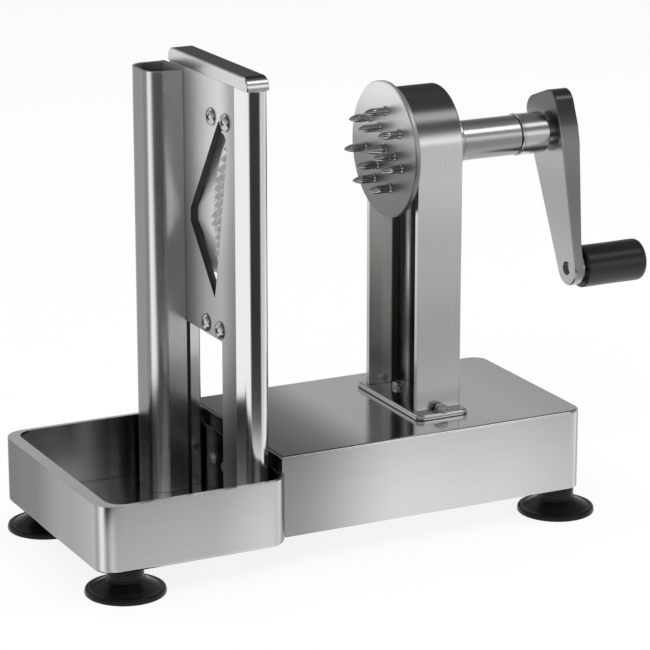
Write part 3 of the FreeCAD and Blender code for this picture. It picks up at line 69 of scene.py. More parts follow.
class Wire:                      # a socket that can be added, multiplied and so on

    def __init__(self, sheet, socket):
        self.sheet = sheet
        self.socket = socket

    def maths(self, operation, *others):
        values = dict(enumerate((self,) + others))
        return self.sheet.node("ShaderNodeMath", {"operation": operation}, values)

    def __add__(self, other):
        return self.maths("ADD", other)

    def __sub__(self, other):
        return self.maths("SUBTRACT", other)

    def __mul__(self, other):
        return self.maths("MULTIPLY", other)

    def __truediv__(self, other):
        return self.maths("DIVIDE", other)

    def __pow__(self, other):
        return self.maths("POWER", other)

    def __rsub__(self, other):
        return self.sheet.node("ShaderNodeMath", {"operation": "SUBTRACT"}, {0: other, 1: self})

    __radd__ = __add__
    __rmul__ = __mul__

    def above(self, edge):
        return self.maths("GREATER_THAN", edge)

    def size(self):
        return self.maths("ABSOLUTE")

    def atLeast(self, least):
        return self.maths("MAXIMUM", least)

    def atMost(self, most):
        return self.maths("MINIMUM", most)


class NodeSheet:                 # what a shader tree and a geometry tree have in common

    def __init__(self, tree):
        self.tree = tree

    def node(self, kind, settings=None, values=None, output=0):
        made = self.tree.nodes.new(kind)
        for key, value in (settings or {}).items():
            setattr(made, key, value)
        for key, value in (values or {}).items():
            if isinstance(value, Wire):
                self.tree.links.new(value.socket, made.inputs[key])
            else:
                made.inputs[key].default_value = value
        return Wire(self, made.outputs[output])

    def joined(self, x, y, z):
        return self.node("ShaderNodeCombineXYZ", values={0: x, 1: y, 2: z})

    def parts(self, vector):
        split = self.node("ShaderNodeSeparateXYZ", values={0: vector}).socket.node
        return [Wire(self, socket) for socket in split.outputs]

    def scaled(self, vector, factor):
        kind = {"operation": "SCALE"}
        return self.node("ShaderNodeVectorMath", kind, {0: vector, "Scale": factor})

    def smooth(self, value, low, high):
        values = {0: value, 1: low, 2: high, 3: 0.0, 4: 1.0}
        return self.node("ShaderNodeMapRange", {"interpolation_type": "SMOOTHSTEP"}, values)


class Finish(NodeSheet):         # one material and the nodes that it is made of

    def __init__(self, owner):
        owner.use_nodes = True
        super().__init__(owner.node_tree)
        self.owner = owner
        self.tree.nodes.clear()

    def coordinates(self, which="Object"):
        return self.node("ShaderNodeTexCoord", output=which)

    def along(self, axis, which="Object"):
        # how far a point lies along an axis, or for Normal how much a face looks along it
        return self.parts(self.coordinates(which))["XYZ".index(axis)]

    def placed(self, vector, scale=(1, 1, 1), turn=(0, 0, 0), shift=(0, 0, 0)):
        values = {"Vector": vector, "Location": shift, "Rotation": turn, "Scale": scale}
        return self.node("ShaderNodeMapping", {"vector_type": "POINT"}, values)

    def noise(self, vector, scale=1.0, detail=2.0, roughness=0.5):
        values = {"Vector": vector, "Scale": scale, "Detail": detail, "Roughness": roughness}
        return self.node("ShaderNodeTexNoise", values=values, output="Fac")

    def dot(self, first, second):
        kind = {"operation": "DOT_PRODUCT"}
        return self.node("ShaderNodeVectorMath", kind, {0: first, 1: second}, output="Value")

    def blend(self, factor, first, second):
        kind = {"data_type": "RGBA", "blend_type": "MIX"}
        return self.node("ShaderNodeMix", kind, {0: factor, 6: first, 7: second}, output=2)

    def mixVectors(self, factor, first, second):
        values = {0: factor, 4: first, 5: second}
        return self.node("ShaderNodeMix", {"data_type": "VECTOR"}, values, output=1)

    def bump(self, height, strength, distance, normal=None):
        values = {"Height": height, "Strength": strength, "Distance": distance}
        if normal:
            values["Normal"] = normal
        return self.node("ShaderNodeBump", values=values)

    def surface(self, shader, world=False):
        kind = "ShaderNodeOutputWorld" if world else "ShaderNodeOutputMaterial"
        out = self.tree.nodes.new(kind)
        self.tree.links.new(shader.socket, out.inputs["Surface"])
        return self.owner


class Recipe(NodeSheet):         # a geometry tree with named inputs

    kinds = {float: "NodeSocketFloat", int: "NodeSocketInt", tuple: "NodeSocketVector"}

    def __init__(self, name, inputs):
        super().__init__(bpy.data.node_groups.new(name, "GeometryNodeTree"))
        face = self.tree.interface
        face.new_socket("seed", in_out="INPUT", socket_type="NodeSocketGeometry")
        face.new_socket("grown", in_out="OUTPUT", socket_type="NodeSocketGeometry")
        for key, value in inputs.items():
            socket = face.new_socket(key, in_out="INPUT", socket_type=self.kinds[type(value)])
            socket.default_value = value
        face.new_socket("finish", in_out="INPUT", socket_type="NodeSocketMaterial")
        self.entry = self.tree.nodes.new("NodeGroupInput")

    def given(self, key):
        return Wire(self, self.entry.outputs[key])

    def turned(self, geometry, turn):
        return self.node("GeometryNodeTransform", values={"Geometry": geometry, "Rotation": turn})

    def gathered(self, *geometries):
        join = self.tree.nodes.new("GeometryNodeJoinGeometry")
        for geometry in reversed(geometries):
            self.tree.links.new(geometry.socket, join.inputs[0])
        return Wire(self, join.outputs[0])

    def ending(self, instances):
        real = self.node("GeometryNodeRealizeInstances", values={"Geometry": instances})
        dressed = self.node("GeometryNodeSetMaterial",
                            values={"Geometry": real, "Material": self.given("finish")})
        out = self.tree.nodes.new("NodeGroupOutput")
        self.tree.links.new(dressed.socket, out.inputs[0])


def grow(name, recipe, inputs, finish, seed=None):
    # runs a recipe on a seed mesh and keeps the result as a plain mesh
    piece = newObject(name, seed or bpy.data.meshes.new(name + "Seed"))
    modifier = piece.modifiers.new("recipe", "NODES")
    modifier.node_group = recipe.tree
    wanted = dict(inputs, finish=finish)
    for item in recipe.tree.interface.items_tree:
        if item.in_out == "INPUT" and item.name in wanted:
            modifier[item.identifier] = wanted[item.name]
    ready = piece.evaluated_get(bpy.context.evaluated_depsgraph_get())
    plain = bpy.data.meshes.new_from_object(ready)
    piece.modifiers.clear()
    piece.data = plain
    plain.name = name
    return piece


studio = {
    "cameraPlace": (-0.6988, -1.3722, 0.5520),
    "cameraAzimuth": -26.7,      # degrees from -Y towards +X
    "cameraElevation": 16.1,
    "focalLength": 166.15,       # mm on a 36 mm sensor
    "floorSize": 12.0,
    "floorShade": 0.80,
    "floorGlow": 0.86,           # share of the floor that is plain white to the camera
    "floorBehind": 0.93,         # what the metal sees of the floor behind and beside the object
    "floorAhead": 0.62,          # and in front of it
    "floorTurn": (-0.30, -0.10), # between these two depths
    "darkPaper": 0.03,           # dark paper on the floor that only the metal sees, a wedge with its tip
    "darkInset": 5.6 * mm,       # under the near column, this far from the column's rear edge
    "darkLeft": (-0.921, -0.277),
    "darkLeftSoft": (-0.02, 0.03),
    "darkRight": (0.449, -0.894),
    "darkRightSoft": (-0.002, 0.006),
    "darkFrom": (0.19, 0.23),    # distances between which it begins
    "skyLow": 0.56,              # what the metal sees of the room, at the horizon and higher up
    "skyHigh": 0.17,
    "skyTurn": (0.12, 0.60),     # sines of the elevations between which it darkens
    "skyFill": 0.62,             # what lights the object from all round
}


def makeCamera(wanted):
    lens = bpy.data.cameras.new("studioCamera")
    lens.sensor_width = 36
    lens.lens = wanted["focalLength"]
    camera = newObject("studioCamera", lens)
    aimed(camera, wanted["cameraPlace"], -outwards(wanted["cameraAzimuth"], wanted["cameraElevation"]))
    bpy.context.scene.camera = camera


def grey(value):
    return (value, value, value, 1)


def rayKinds(finish):
    # camera and glass rays as one, mirror rays, and rays that carry light
    path = finish.node("ShaderNodeLightPath").socket.node
    rays = {name: Wire(finish, path.outputs["Is " + name + " Ray"])
            for name in ("Camera", "Transmission", "Glossy", "Diffuse")}
    return rays["Camera"].atLeast(rays["Transmission"]), rays["Glossy"], rays["Diffuse"]


def makeFloor(wanted):
    half = wanted["floorSize"] / 2
    corners = [(-half, -half, 0), (half, -half, 0), (half, half, 0), (-half, half, 0)]
    mesh = bpy.data.meshes.new("studioFloor")
    mesh.from_pydata(corners, [], [(0, 1, 2, 3)])
    floor = newObject("studioFloor", mesh)
    finish = Finish(bpy.data.materials.new("floorPaper"))
    x, y = finish.parts(finish.coordinates())[:2]
    mirrored = finish.blend(finish.smooth(y, *wanted["floorTurn"]),
                            grey(wanted["floorAhead"]), grey(wanted["floorBehind"]))
    low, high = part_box("front_column")
    across, ahead = x - (high[0] - wanted["darkInset"]), y - low[1]
    leftX, leftY = wanted["darkLeft"]
    rightX, rightY = wanted["darkRight"]
    pastLeft = finish.smooth(ahead * leftX - across * leftY, *wanted["darkLeftSoft"])
    pastRight = finish.smooth(across * rightY - ahead * rightX, *wanted["darkRightSoft"])
    away = finish.smooth((across * across + ahead * ahead).maths("SQRT"), *wanted["darkFrom"])
    mirrored = finish.blend(pastLeft * pastRight * away, mirrored, grey(wanted["darkPaper"]))
    camera, glossy = rayKinds(finish)[:2]
    colour = finish.blend(glossy, grey(1), mirrored)
    paper = finish.node("ShaderNodeBsdfDiffuse", values={"Color": grey(wanted["floorShade"])})
    glow = finish.node("ShaderNodeEmission", values={"Color": colour, "Strength": 1.0})
    share = (camera * wanted["floorGlow"]).atLeast(glossy)
    both = finish.node("ShaderNodeMixShader", values={0: share, 1: paper, 2: glow})
    mesh.materials.append(finish.surface(both))


softBoxes = [                    # azimuth, elevation, inner and outer half angle, brightness
    (30.0, 9.0, 4.0, 14.0, 1.25),
    (42.0, 50.0, 5.0, 13.0, 1.9),
    (216.0, 38.0, 8.0, 24.0, 0.9),
]


def makeRoom(wanted, boxes):
    finish = Finish(bpy.data.worlds.new("studioRoom"))
    looking = finish.coordinates("Generated")
    room = finish.blend(finish.smooth(finish.parts(looking)[2], *wanted["skyTurn"]),
                        grey(wanted["skyLow"]), grey(wanted["skyHigh"]))
    for azimuth, elevation, inner, outer, shine in boxes:
        nearness = finish.dot(looking, outwards(azimuth, elevation))
        inside = finish.smooth(nearness, math.cos(math.radians(outer)), math.cos(math.radians(inner)))
        room = finish.blend(inside, room, grey(shine))
    camera, glossy, diffuse = rayKinds(finish)
    colour = finish.blend(diffuse, room, grey(wanted["skyFill"]))
    colour = finish.blend(camera, colour, grey(1))
    sky = finish.node("ShaderNodeBackground", values={"Color": colour})
    bpy.context.scene.world = finish.surface(sky, world=True)


lamps = {                        # name: place, target, width, height, watts
    "keyBox": ((-1.1, -1.3, 1.7), (0.0, 0.0, 0.12), 1.1, 1.1, 21),
    "topBox": ((0.25, 0.15, 2.0), (0.0, 0.0, 0.10), 1.6, 0.9, 15),
    "sideBox": ((1.9, -0.5, 0.9), (0.0, 0.0, 0.12), 0.7, 1.3, 11),
}


def makeLamps(wanted):           # the metal sees the soft boxes of the room in their place
    for name, (place, target, width, height, watts) in wanted.items():
        light = bpy.data.lights.new(name, "AREA")
        light.shape = "RECTANGLE"
        light.size = width
        light.size_y = height
        light.energy = watts
        lamp = newObject(name, light)
        aimed(lamp, place, Vector(target) - Vector(place))
        lamp.visible_glossy = False


makeCamera(studio)
makeFloor(studio)
makeRoom(studio, softBoxes)
makeLamps(lamps)
print("studio ready")


axisHeight = 201.0 * mm          # the crank's axis
armTilt = math.radians(20)

steel = {                        # what every steel has, unless its own look says otherwise
    "fineStreaks": 7000.0,       # brush lines per metre across the grain
    "broadStreaks": 700.0,
    "streakLength": 22.0,        # cycles per metre along the grain
    "streakEnds": 0.7,           # how squarely a face looks along the grain to be brushed the other way
    "ringDrift": 0.9,            # how much the rings of a turned part wander
    "handledScale": 34.0,        # broad clouds per metre, from hands and wiping
    "darkGain": 0.86,            # colour in the grooves and on the ridges
    "lightGain": 1.13,
    "broadShare": 0.8,
    "handledShare": 0.10,
    "fineRough": 0.08,
    "handledRough": 0.06,
    "edgeRound": 0.35 * mm,      # how softly a cut edge catches the light
    "edgeSpread": 5.0,
    "edgeGain": 1.3,             # how much lighter its colour is, as polished wear and as a painted highlight, and how light at most
    "edgeMost": 0.95,
    "edgeShare": 0.6,            # how much of that colour shows, and how much of the roughness goes
    "edgeGloss": 0.3,
    "bumpHeight": 0.01 * mm,
    "sideRough": 0.12,           # roughness that side walls and cut edges have besides
    "cutRough": 0.2,
    "facingTurn": (0.6, 0.9),    # how squarely a face has to look along an axis
    "topTurn": (0.6, 0.95),
    "nookTurn": (0.15, 0.8),
    "nookShade": 0.10,
    "metallic": 1.0,
    "grazing": 1.0,              # tint of the reflections at a grazing angle
    "tones": [],
}


def grainStraight(finish, lengthwise, onEnds):
    # streaks run along one axis, and along the other where the face looks down the first
    place = finish.coordinates()
    facing = finish.along(lengthwise, "Normal").size().above(steel["streakEnds"])
    made = []
    for across in (steel["fineStreaks"], steel["broadStreaks"]):
        ways = []
        for axis in (lengthwise, onEnds):
            scale = [across] * 3
            scale["XYZ".index(axis)] = steel["streakLength"]
            ways.append(finish.placed(place, scale))
        made.append(finish.mixVectors(facing, *ways))
    return made


def grainTurned(finish, height):
    # rings about an axis that runs along X at a height
    x, y, z = finish.parts(finish.placed(finish.coordinates(), shift=(0, 0, -height)))
    radius = (y * y + z * z).maths("SQRT").atLeast(0.5 * mm)
    drift = steel["ringDrift"]
    made = []
    for across in (steel["fineStreaks"], steel["broadStreaks"]):
        made.append(finish.joined(x * across + y / radius * drift, radius * across + z / radius * drift, 0.0))
    return made


def grainTilted(finish, tilt):
    place = finish.placed(finish.coordinates(), turn=(tilt, 0, 0))
    return [finish.placed(place, (across, across, steel["streakLength"]))
            for across in (steel["fineStreaks"], steel["broadStreaks"])]


def throughPoints(finish, source, points):
    # a level that passes through (place, level) points
    level = points[0][1]
    for (before, low), (after, high) in zip(points, points[1:]):
        level = finish.smooth(source, before, after) * (high - low) + level
    return level


def withPaintedLight(finish, look, colour, lightBand):
    # painted light and shade: lightens and darkens a colour along an axis, in place of reflections,
    # highlights and shade
    level = throughPoints(finish, finish.along(lightBand["axis"], lightBand["by"]), lightBand["points"])
    if "within" in lightBand:         # only past a place along this axis
        axis, place = lightBand["within"]
        level = (level - 1.0) * finish.along(axis).above(place) + 1.0
    if "facing" in lightBand:         # only on faces that look along this axis, or against it
        axis, sign = lightBand["facing"]
        looking = finish.along(axis, "Normal") * sign
        level = (level - 1.0) * finish.smooth(looking, *look["facingTurn"]) + 1.0
    return finish.scaled(colour, level)


def gained(colour, gain, most=1.0):
    return tuple(min(most, channel * gain) for channel in colour) + (1,)


def makeSteel(name, ownLook, grain, *grainLines):
    look = {**steel, **ownLook}
    finish = Finish(bpy.data.materials.new(name))
    fineVector, broadVector = grain(finish, *grainLines)
    fine = finish.noise(fineVector, detail=2.0, roughness=0.6)
    broad = finish.noise(broadVector, detail=3.0, roughness=0.55)
    handled = finish.noise(finish.coordinates(), scale=look["handledScale"], detail=4.0)
    rounded = finish.node("ShaderNodeBevel", {"samples": 4}, {"Radius": look["edgeRound"]})
    flat = finish.node("ShaderNodeNewGeometry", output="Normal")
    edge = ((1.0 - finish.dot(rounded, flat)) * look["edgeSpread"]).atMost(1.0)

    depth = look["contrast"]
    shade = ((fine - 0.5) * depth + (broad - 0.5) * depth * look["broadShare"]
             + (handled - 0.5) * look["handledShare"] + 0.5)
    dark, light = gained(look["colour"], look["darkGain"]), gained(look["colour"], look["lightGain"])
    # cut edges are lighter: partly polished wear, partly a painted highlight
    edgeWearAndHighlight = gained(look["colour"], look["edgeGain"], look["edgeMost"])
    colour = finish.blend(shade.atLeast(0.0), dark, light)
    colour = finish.blend(edge * look["edgeShare"], colour, edgeWearAndHighlight)
    rough = (fine - 0.5) * look["fineRough"] + (handled - 0.5) * look["handledRough"] + look["roughness"]
    rough = rough * (1.0 - edge * look["edgeGloss"])
    if "sideShade" in look:      # walls that look across the frame are rougher than its front, and painted darker: painted shade
        side = finish.smooth(finish.along("Y", "Normal").size(), *look["sideTurn"])
        colour = finish.blend(side, colour, grey(look["sideShade"]))
        rough = rough + side * look["sideRough"]
    if "topShade" in look:       # faces that look up are painted darker: painted shade
        upward = finish.smooth(finish.along("Z", "Normal"), *look["topTurn"])
        colour = finish.blend(upward, colour, grey(look["topShade"]))
    if "cutShade" in look:       # the sheet's cut edges, which look along neither of its faces, are rougher and painted dark: painted shade
        cut = 1.0 - finish.along("X", "Normal").size().above(0.5)
        colour = finish.blend(cut, colour, grey(look["cutShade"]))
        rough = rough + cut * look["cutRough"]
    # painted light and shade: each band paints reflections, highlights or shade into the colour
    for lightBand in look["tones"]:
        colour = withPaintedLight(finish, look, colour, lightBand)
    if "nook" in look:           # painted shade: seams and recesses narrower than this are painted dark
        clear = finish.node("ShaderNodeAmbientOcclusion", {"samples": 6},
                            {"Distance": look["nook"]}, output="AO")
        colour = finish.blend(finish.smooth(clear, *look["nookTurn"]), grey(look["nookShade"]), colour)
    return finish.surface(finish.node("ShaderNodeBsdfPrincipled", values={
        "Base Color": colour, "Metallic": look["metallic"], "Roughness": rough,
        "Normal": finish.bump(fine, look["bump"], look["bumpHeight"], rounded),
        "Specular Tint": grey(look["grazing"])}))


def makeMoulded(name, look):
    # fine pores, and broad clouds where the look has them
    finish = Finish(bpy.data.materials.new(name))
    place = finish.coordinates()
    pores = finish.noise(place, *look["pores"])
    mottled = pores
    rough = (pores - 0.5) * look["poreRough"]
    if "clouds" in look:
        mottled = finish.noise(place, *look["clouds"])
        rough = rough + (mottled - 0.5) * look["cloudRough"]
    return finish.surface(finish.node("ShaderNodeBsdfPrincipled", values={
        "Base Color": finish.blend(mottled, look["dark"] + (1,), look["light"] + (1,)),
        "Roughness": rough + look["roughness"], "Normal": finish.bump(pores, *look["bump"]),
        **look.get("sockets", {})}))


def tinted(shade):               # steel is a little warm
    return (shade, shade * 0.992, shade * 0.97)


def byPlace(axis, *points, **only):
    # a band of painted light and shade that follows (metres along the axis, level) points
    return {"by": "Object", "axis": axis, "points": points, **only}


def byFacing(axis, *points, **only):
    # a band of painted light and shade that follows how much a face looks along the axis, from -1 to 1
    return {"by": "Normal", "axis": axis, "points": points, **only}


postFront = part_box("post")[0][0]

# the bands listed in these looks paint reflections, highlights and shade into the colour
traySheet = {
    "colour": tinted(0.60), "roughness": 0.15, "contrast": 0.30, "bump": 0.05, "nook": 2.0 * mm,
    "grazing": 0.7,
    "tones": [
        byPlace("X", (-0.17, 0.72), (-0.11, 0.80), (-0.075, 1.08), (-0.062, 0.50), (0.010, 1.22),
                (0.060, 1.15), (0.12, 0.95)),
        byFacing("Y", (-0.97, 1.0), (-0.90, 1.32), (-0.78, 0.80), (-0.62, 1.65), (-0.40, 0.70),
                 (-0.12, 1.0)),
        byPlace("X", (-0.0645, 2.3), (-0.062, 0.75), (-0.035, 0.85), (0.0, 1.45), (0.06, 1.6),
                facing=("Z", 1)),
        byPlace("Y", (-0.07, 1.25), (-0.02, 0.98), (0.025, 0.55), (0.07, 0.45), facing=("X", -1))],
}
panelSheet = {
    "colour": tinted(0.86), "roughness": 0.46, "contrast": 0.26, "bump": 0.05, "cutShade": 0.10,
    "nook": 2.0 * mm,
    "tones": [byPlace("Z", (0.06, 0.55), (0.14, 0.72), (0.215, 1.14)),
              byPlace("Y", (-0.030, 0.52), (-0.010, 1.0))],
}
columnTube = {"colour": tinted(0.95), "roughness": 0.17, "contrast": 0.14, "bump": 0.03, "nook": 1.5 * mm}
channelSheet = {
    "colour": tinted(0.95), "roughness": 0.26, "contrast": 0.18, "bump": 0.04, "nook": 1.5 * mm,
    "tones": [byFacing("Y", (-0.96, 0.90), (-0.87, 1.0), (-0.56, 1.0), (-0.34, 0.26))],
}
capSheet = {
    "colour": tinted(0.88), "roughness": 0.24, "contrast": 0.25, "bump": 0.04, "topShade": 0.13,
    "nook": 1.0 * mm, "grazing": 0.45,
}
postSheet = {
    "colour": tinted(0.66), "roughness": 0.24, "contrast": 0.35, "bump": 0.05, "nook": 1.5 * mm,
    "grazing": 0.25,
    "tones": [
        byFacing("X", (-0.97, 1.15), (-0.60, 1.0)),
        byPlace("Z", (0.06, 0.85), (0.10, 0.80), (0.15, 1.0), (0.19, 1.25)),
        byFacing("Z", (0.12, 1.0), (0.34, 0.36), (0.80, 0.28), (0.97, 0.34)),
        byPlace("X", (postFront + 7 * mm, 1.5), (postFront + 9 * mm, 1.9), (postFront + 13 * mm, 1.9),
                (postFront + 14.5 * mm, 0.12), facing=("Y", -1), within=("Y", 0.0))],
}
turnedBar = {"colour": tinted(0.60), "roughness": 0.22, "contrast": 0.35, "bump": 0.05}
tubeBar = {
    "colour": tinted(0.86), "roughness": 0.22, "contrast": 0.30, "bump": 0.05, "nook": 1.0 * mm,
    "tones": [byFacing("Z", (-0.7, 0.42), (0.15, 0.42), (0.45, 1.0), (0.76, 1.0), (0.93, 0.60))],
}
discPlate = {
    "colour": tinted(0.48), "roughness": 0.38, "contrast": 0.45, "bump": 0.08, "edgeGain": 2.0,
    "tones": [byPlace("Z", (0.166, 0.42), (0.190, 0.50), (0.236, 1.9))],
}
armBar = {
    "colour": tinted(0.56), "roughness": 0.28, "contrast": 0.35, "bump": 0.05, "edgeGain": 2.6,
    "sideShade": 0.34, "sideTurn": (0.80, 0.93),
    "tones": [byPlace("Z", (0.125, 0.85), (0.17, 0.72), (0.198, 0.85), (0.216, 0.26))],
}
bladeSheet = {
    "colour": tinted(0.97), "roughness": 0.40, "contrast": 0.20, "bump": 0.04, "metallic": 0.75,
    "nook": 2.0 * mm, "nookShade": 0.03,
}
carrierSheet = {"colour": tinted(0.50), "roughness": 0.26, "contrast": 0.25, "bump": 0.04, "cutShade": 0.08}
polishedPin = {
    "colour": tinted(0.58), "roughness": 0.13, "contrast": 0.25, "bump": 0.03,
    "nook": 1.7 * mm, "nookShade": 0.02,
}
spikePin = {"colour": tinted(0.60), "roughness": 0.12, "contrast": 0.25, "bump": 0.03, "edgeGain": 1.6}
platedPart = {"colour": tinted(0.48), "roughness": 0.32, "contrast": 0.4, "bump": 0.08}

footRubber = {                   # pores and clouds: scale and detail
    "dark": (0.003, 0.003, 0.0031), "light": (0.007, 0.007, 0.0073), "roughness": 0.30,
    "pores": (1500.0, 2.0), "poreRough": 0.12, "clouds": (60.0, 4.0), "cloudRough": 0.16,
    "bump": (0.2, 0.02 * mm), "sockets": {"Specular IOR Level": 0.22},
}
gripPlastic = {
    "dark": (0.004, 0.004, 0.0042), "light": (0.009, 0.009, 0.0093), "roughness": 0.31,
    "pores": (2300.0, 1.0), "poreRough": 0.14, "clouds": (80.0, 3.0), "cloudRough": 0.10,
    "bump": (0.3, 0.03 * mm), "sockets": {"Specular IOR Level": 0.55},
}
bushBronze = {
    "dark": (0.30, 0.17, 0.07), "light": (0.55, 0.36, 0.16), "roughness": 0.42,
    "pores": (1800.0, 3.0), "poreRough": 0.3, "bump": (0.4, 0.03 * mm), "sockets": {"Metallic": 1.0},
}
sleeveAcetal = {
    "dark": (0.62, 0.61, 0.58), "light": (0.74, 0.73, 0.70), "roughness": 0.45,
    "pores": (300.0, 3.0), "poreRough": 0.2, "bump": (0.1, 0.02 * mm),
}

steels = {                       # look, grain, and the axes, height or tilt of the grain
    "tray": (traySheet, grainStraight, "X", "Y"),
    "panel": (panelSheet, grainStraight, "Z", "X"),
    "column": (columnTube, grainStraight, "Z", "X"),
    "channel": (channelSheet, grainStraight, "Z", "X"),
    "cap": (capSheet, grainStraight, "Y", "Z"),
    "post": (postSheet, grainStraight, "Z", "X"),
    "turned": (turnedBar, grainTurned, axisHeight),
    "tube": (tubeBar, grainTurned, axisHeight),
    "disc": (discPlate, grainTurned, axisHeight),
    "arm": (armBar, grainTilted, armTilt),
    "blade": (bladeSheet, grainStraight, "Z", "Y"),
    "carrier": (carrierSheet, grainStraight, "Z", "Y"),
    "polished": (polishedPin, grainTurned, axisHeight),
    "spike": (spikePin, grainStraight, "X", "Y"),
    "plated": (platedPart, grainStraight, "X", "Y"),
}
finishes = {name: makeSteel(name + "Steel", *made) for name, made in steels.items()}
finishes["rubber"] = makeMoulded("blackRubber", footRubber)
finishes["plastic"] = makeMoulded("gripPlastic", gripPlastic)
finishes["bronze"] = makeMoulded("sinteredBronze", bushBronze)
finishes["acetal"] = makeMoulded("whiteAcetal", sleeveAcetal)

wearing = {
    "tray": ["tray", "base_shell", "base_bottom_plate", "post_foot_plate"],
    "panel": ["frame_panel"],
    "column": ["front_column", "rear_leg"],
    "channel": ["rear_channel"],
    "cap": ["frame_cap"],
    "post": ["post"],
    "tube": ["quill", "bearing_housing"],
    "turned": ["collar", "housing_nut", "crank_shaft", "grip_axle", "grip_washer", "arm_washer"],
    "disc": ["spiked_disc"],
    "arm": ["crank_arm"],
    "blade": ["toothed_blade", "slicing_knife"],
    "carrier": ["blade_carrier"],
    "polished": ["centre_pin", "blade_screws", "arm_screw", "post_bolts"],
    "spike": ["spikes", "centre_point"],
    "plated": ["base_standoffs", "base_plate_screws", "foot_studs", "foot_nuts", "front_column_plug",
               "rear_leg_plug", "column_screws", "blade_rivets", "blade_nuts", "post_washers", "post_nuts",
               "key_screw", "joint_bolts", "joint_nuts", "collar_screw"],
    "rubber": ["foot_tray_near", "foot_tray_far", "foot_base_near", "foot_base_far"],
    "plastic": ["grip", "grip_cap"],
    "bronze": ["quill_bushes"],
    "acetal": ["grip_sleeve"],
}
for finishName, members in wearing.items():
    for member in members:
        nodes[member].data.materials.clear()
        nodes[member].data.materials.append(finishes[finishName])
print("finishes on", sum(len(members) for members in wearing.values()), "nodes")


sharpFrom = {"turned": 40, "carved": 32, "pressed": 50}      # degrees between faces that stay an edge


def smoothed(mesh, kind):
    mesh.shade_smooth()
    mesh.set_sharp_from_angle(angle=math.radians(sharpFrom[kind]))
    return mesh


def ended(maker, name):
    # the mesh of a maker, with its faces outwards
    bmesh.ops.recalc_face_normals(maker, faces=maker.faces)
    mesh = bpy.data.meshes.new(name)
    maker.to_mesh(mesh)
    maker.free()
    return mesh


def bridged(maker, rings):
    # faces between rings of as many corners; a ring on the axis has one corner many times
    for low, high in zip(rings, rings[1:]):
        for number in range(len(low)):
            after = (number + 1) % len(low)
            corners = list(dict.fromkeys([low[number], low[after], high[after], high[number]]))
            if len(corners) > 2:
                maker.faces.new(corners)


def onCircle(radius, number, count):
    return radius * math.cos(math.tau * number / count), radius * math.sin(math.tau * number / count)


def softened(outline, steps=4):
    # rounds the corners of an outline of (a, b, round) points
    made = []
    for number, (a, b, bend) in enumerate(outline):
        here = Vector((a, b))
        if not bend:
            made.append(here)
            continue
        before = Vector(outline[number - 1][:2]) - here
        after = Vector(outline[(number + 1) % len(outline)][:2]) - here
        first = here + before.normalized() * min(bend, before.length / 2)
        last = here + after.normalized() * min(bend, after.length / 2)
        for step in range(steps + 1):
            share = step / steps
            made.append(first.lerp(here, share).lerp(here.lerp(last, share), share))
    return made


def turnedMesh(name, outline, sides, closed=False):
    # spins (radius, height) points about Z; closed outlines make a ring, open ones end on the axis
    maker = bmesh.new()
    rings = []
    for radius, height in outline:
        if radius < 0.001 * mm:
            rings.append([maker.verts.new((0, 0, height))] * sides)
        else:
            rings.append([maker.verts.new((*onCircle(radius, side, sides), height)) for side in range(sides)])
    bridged(maker, rings + rings[:1] if closed else rings)
    return smoothed(ended(maker, name), "turned")


def layeredMesh(name, layers):
    # a solid through (outline, height) layers, whose outlines are lists of (x, y) points
    maker = bmesh.new()
    rings = [[maker.verts.new((x, y, height)) for x, y in outline] for outline, height in layers]
    bridged(maker, rings)
    maker.faces.new(rings[0])
    maker.faces.new(rings[-1])
    return ended(maker, name)


def carved(name, body, tool, operation="DIFFERENCE"):
    # cuts one mesh out of another, joins the two or keeps what they share
    block = newObject(name, body)
    cutter = newObject(name + "Tool", tool)
    modifier = block.modifiers.new("carve", "BOOLEAN")
    modifier.operation = operation
    modifier.solver = "EXACT"
    modifier.object = cutter
    ready = block.evaluated_get(bpy.context.evaluated_depsgraph_get())
    mesh = bpy.data.meshes.new_from_object(ready)
    for thing in (block, cutter):
        bpy.data.objects.remove(thing)
    return smoothed(mesh, "carved")


spikes = {
    "face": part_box("spiked_disc")[0][0],
    "axisHeight": axisHeight,
    "outerCount": 7,
    "outerRadius": 21.0 * mm,
    "outerTurn": math.radians(-5),
    "innerCount": 3,
    "innerRadius": 12.0 * mm,
    "innerTurn": math.radians(23),
    "length": 13.0 * mm,
    "radius": 2.3 * mm,
    "straight": 6.0 * mm,        # length of the straight part
    "blunt": 2.2,                # how late and how roundly it narrows to the tip
    "belly": 0.8,
    "footRadius": 2.8 * mm,
    "footHeight": 0.9 * mm,
    "steps": 44,
    "sides": 28,
}


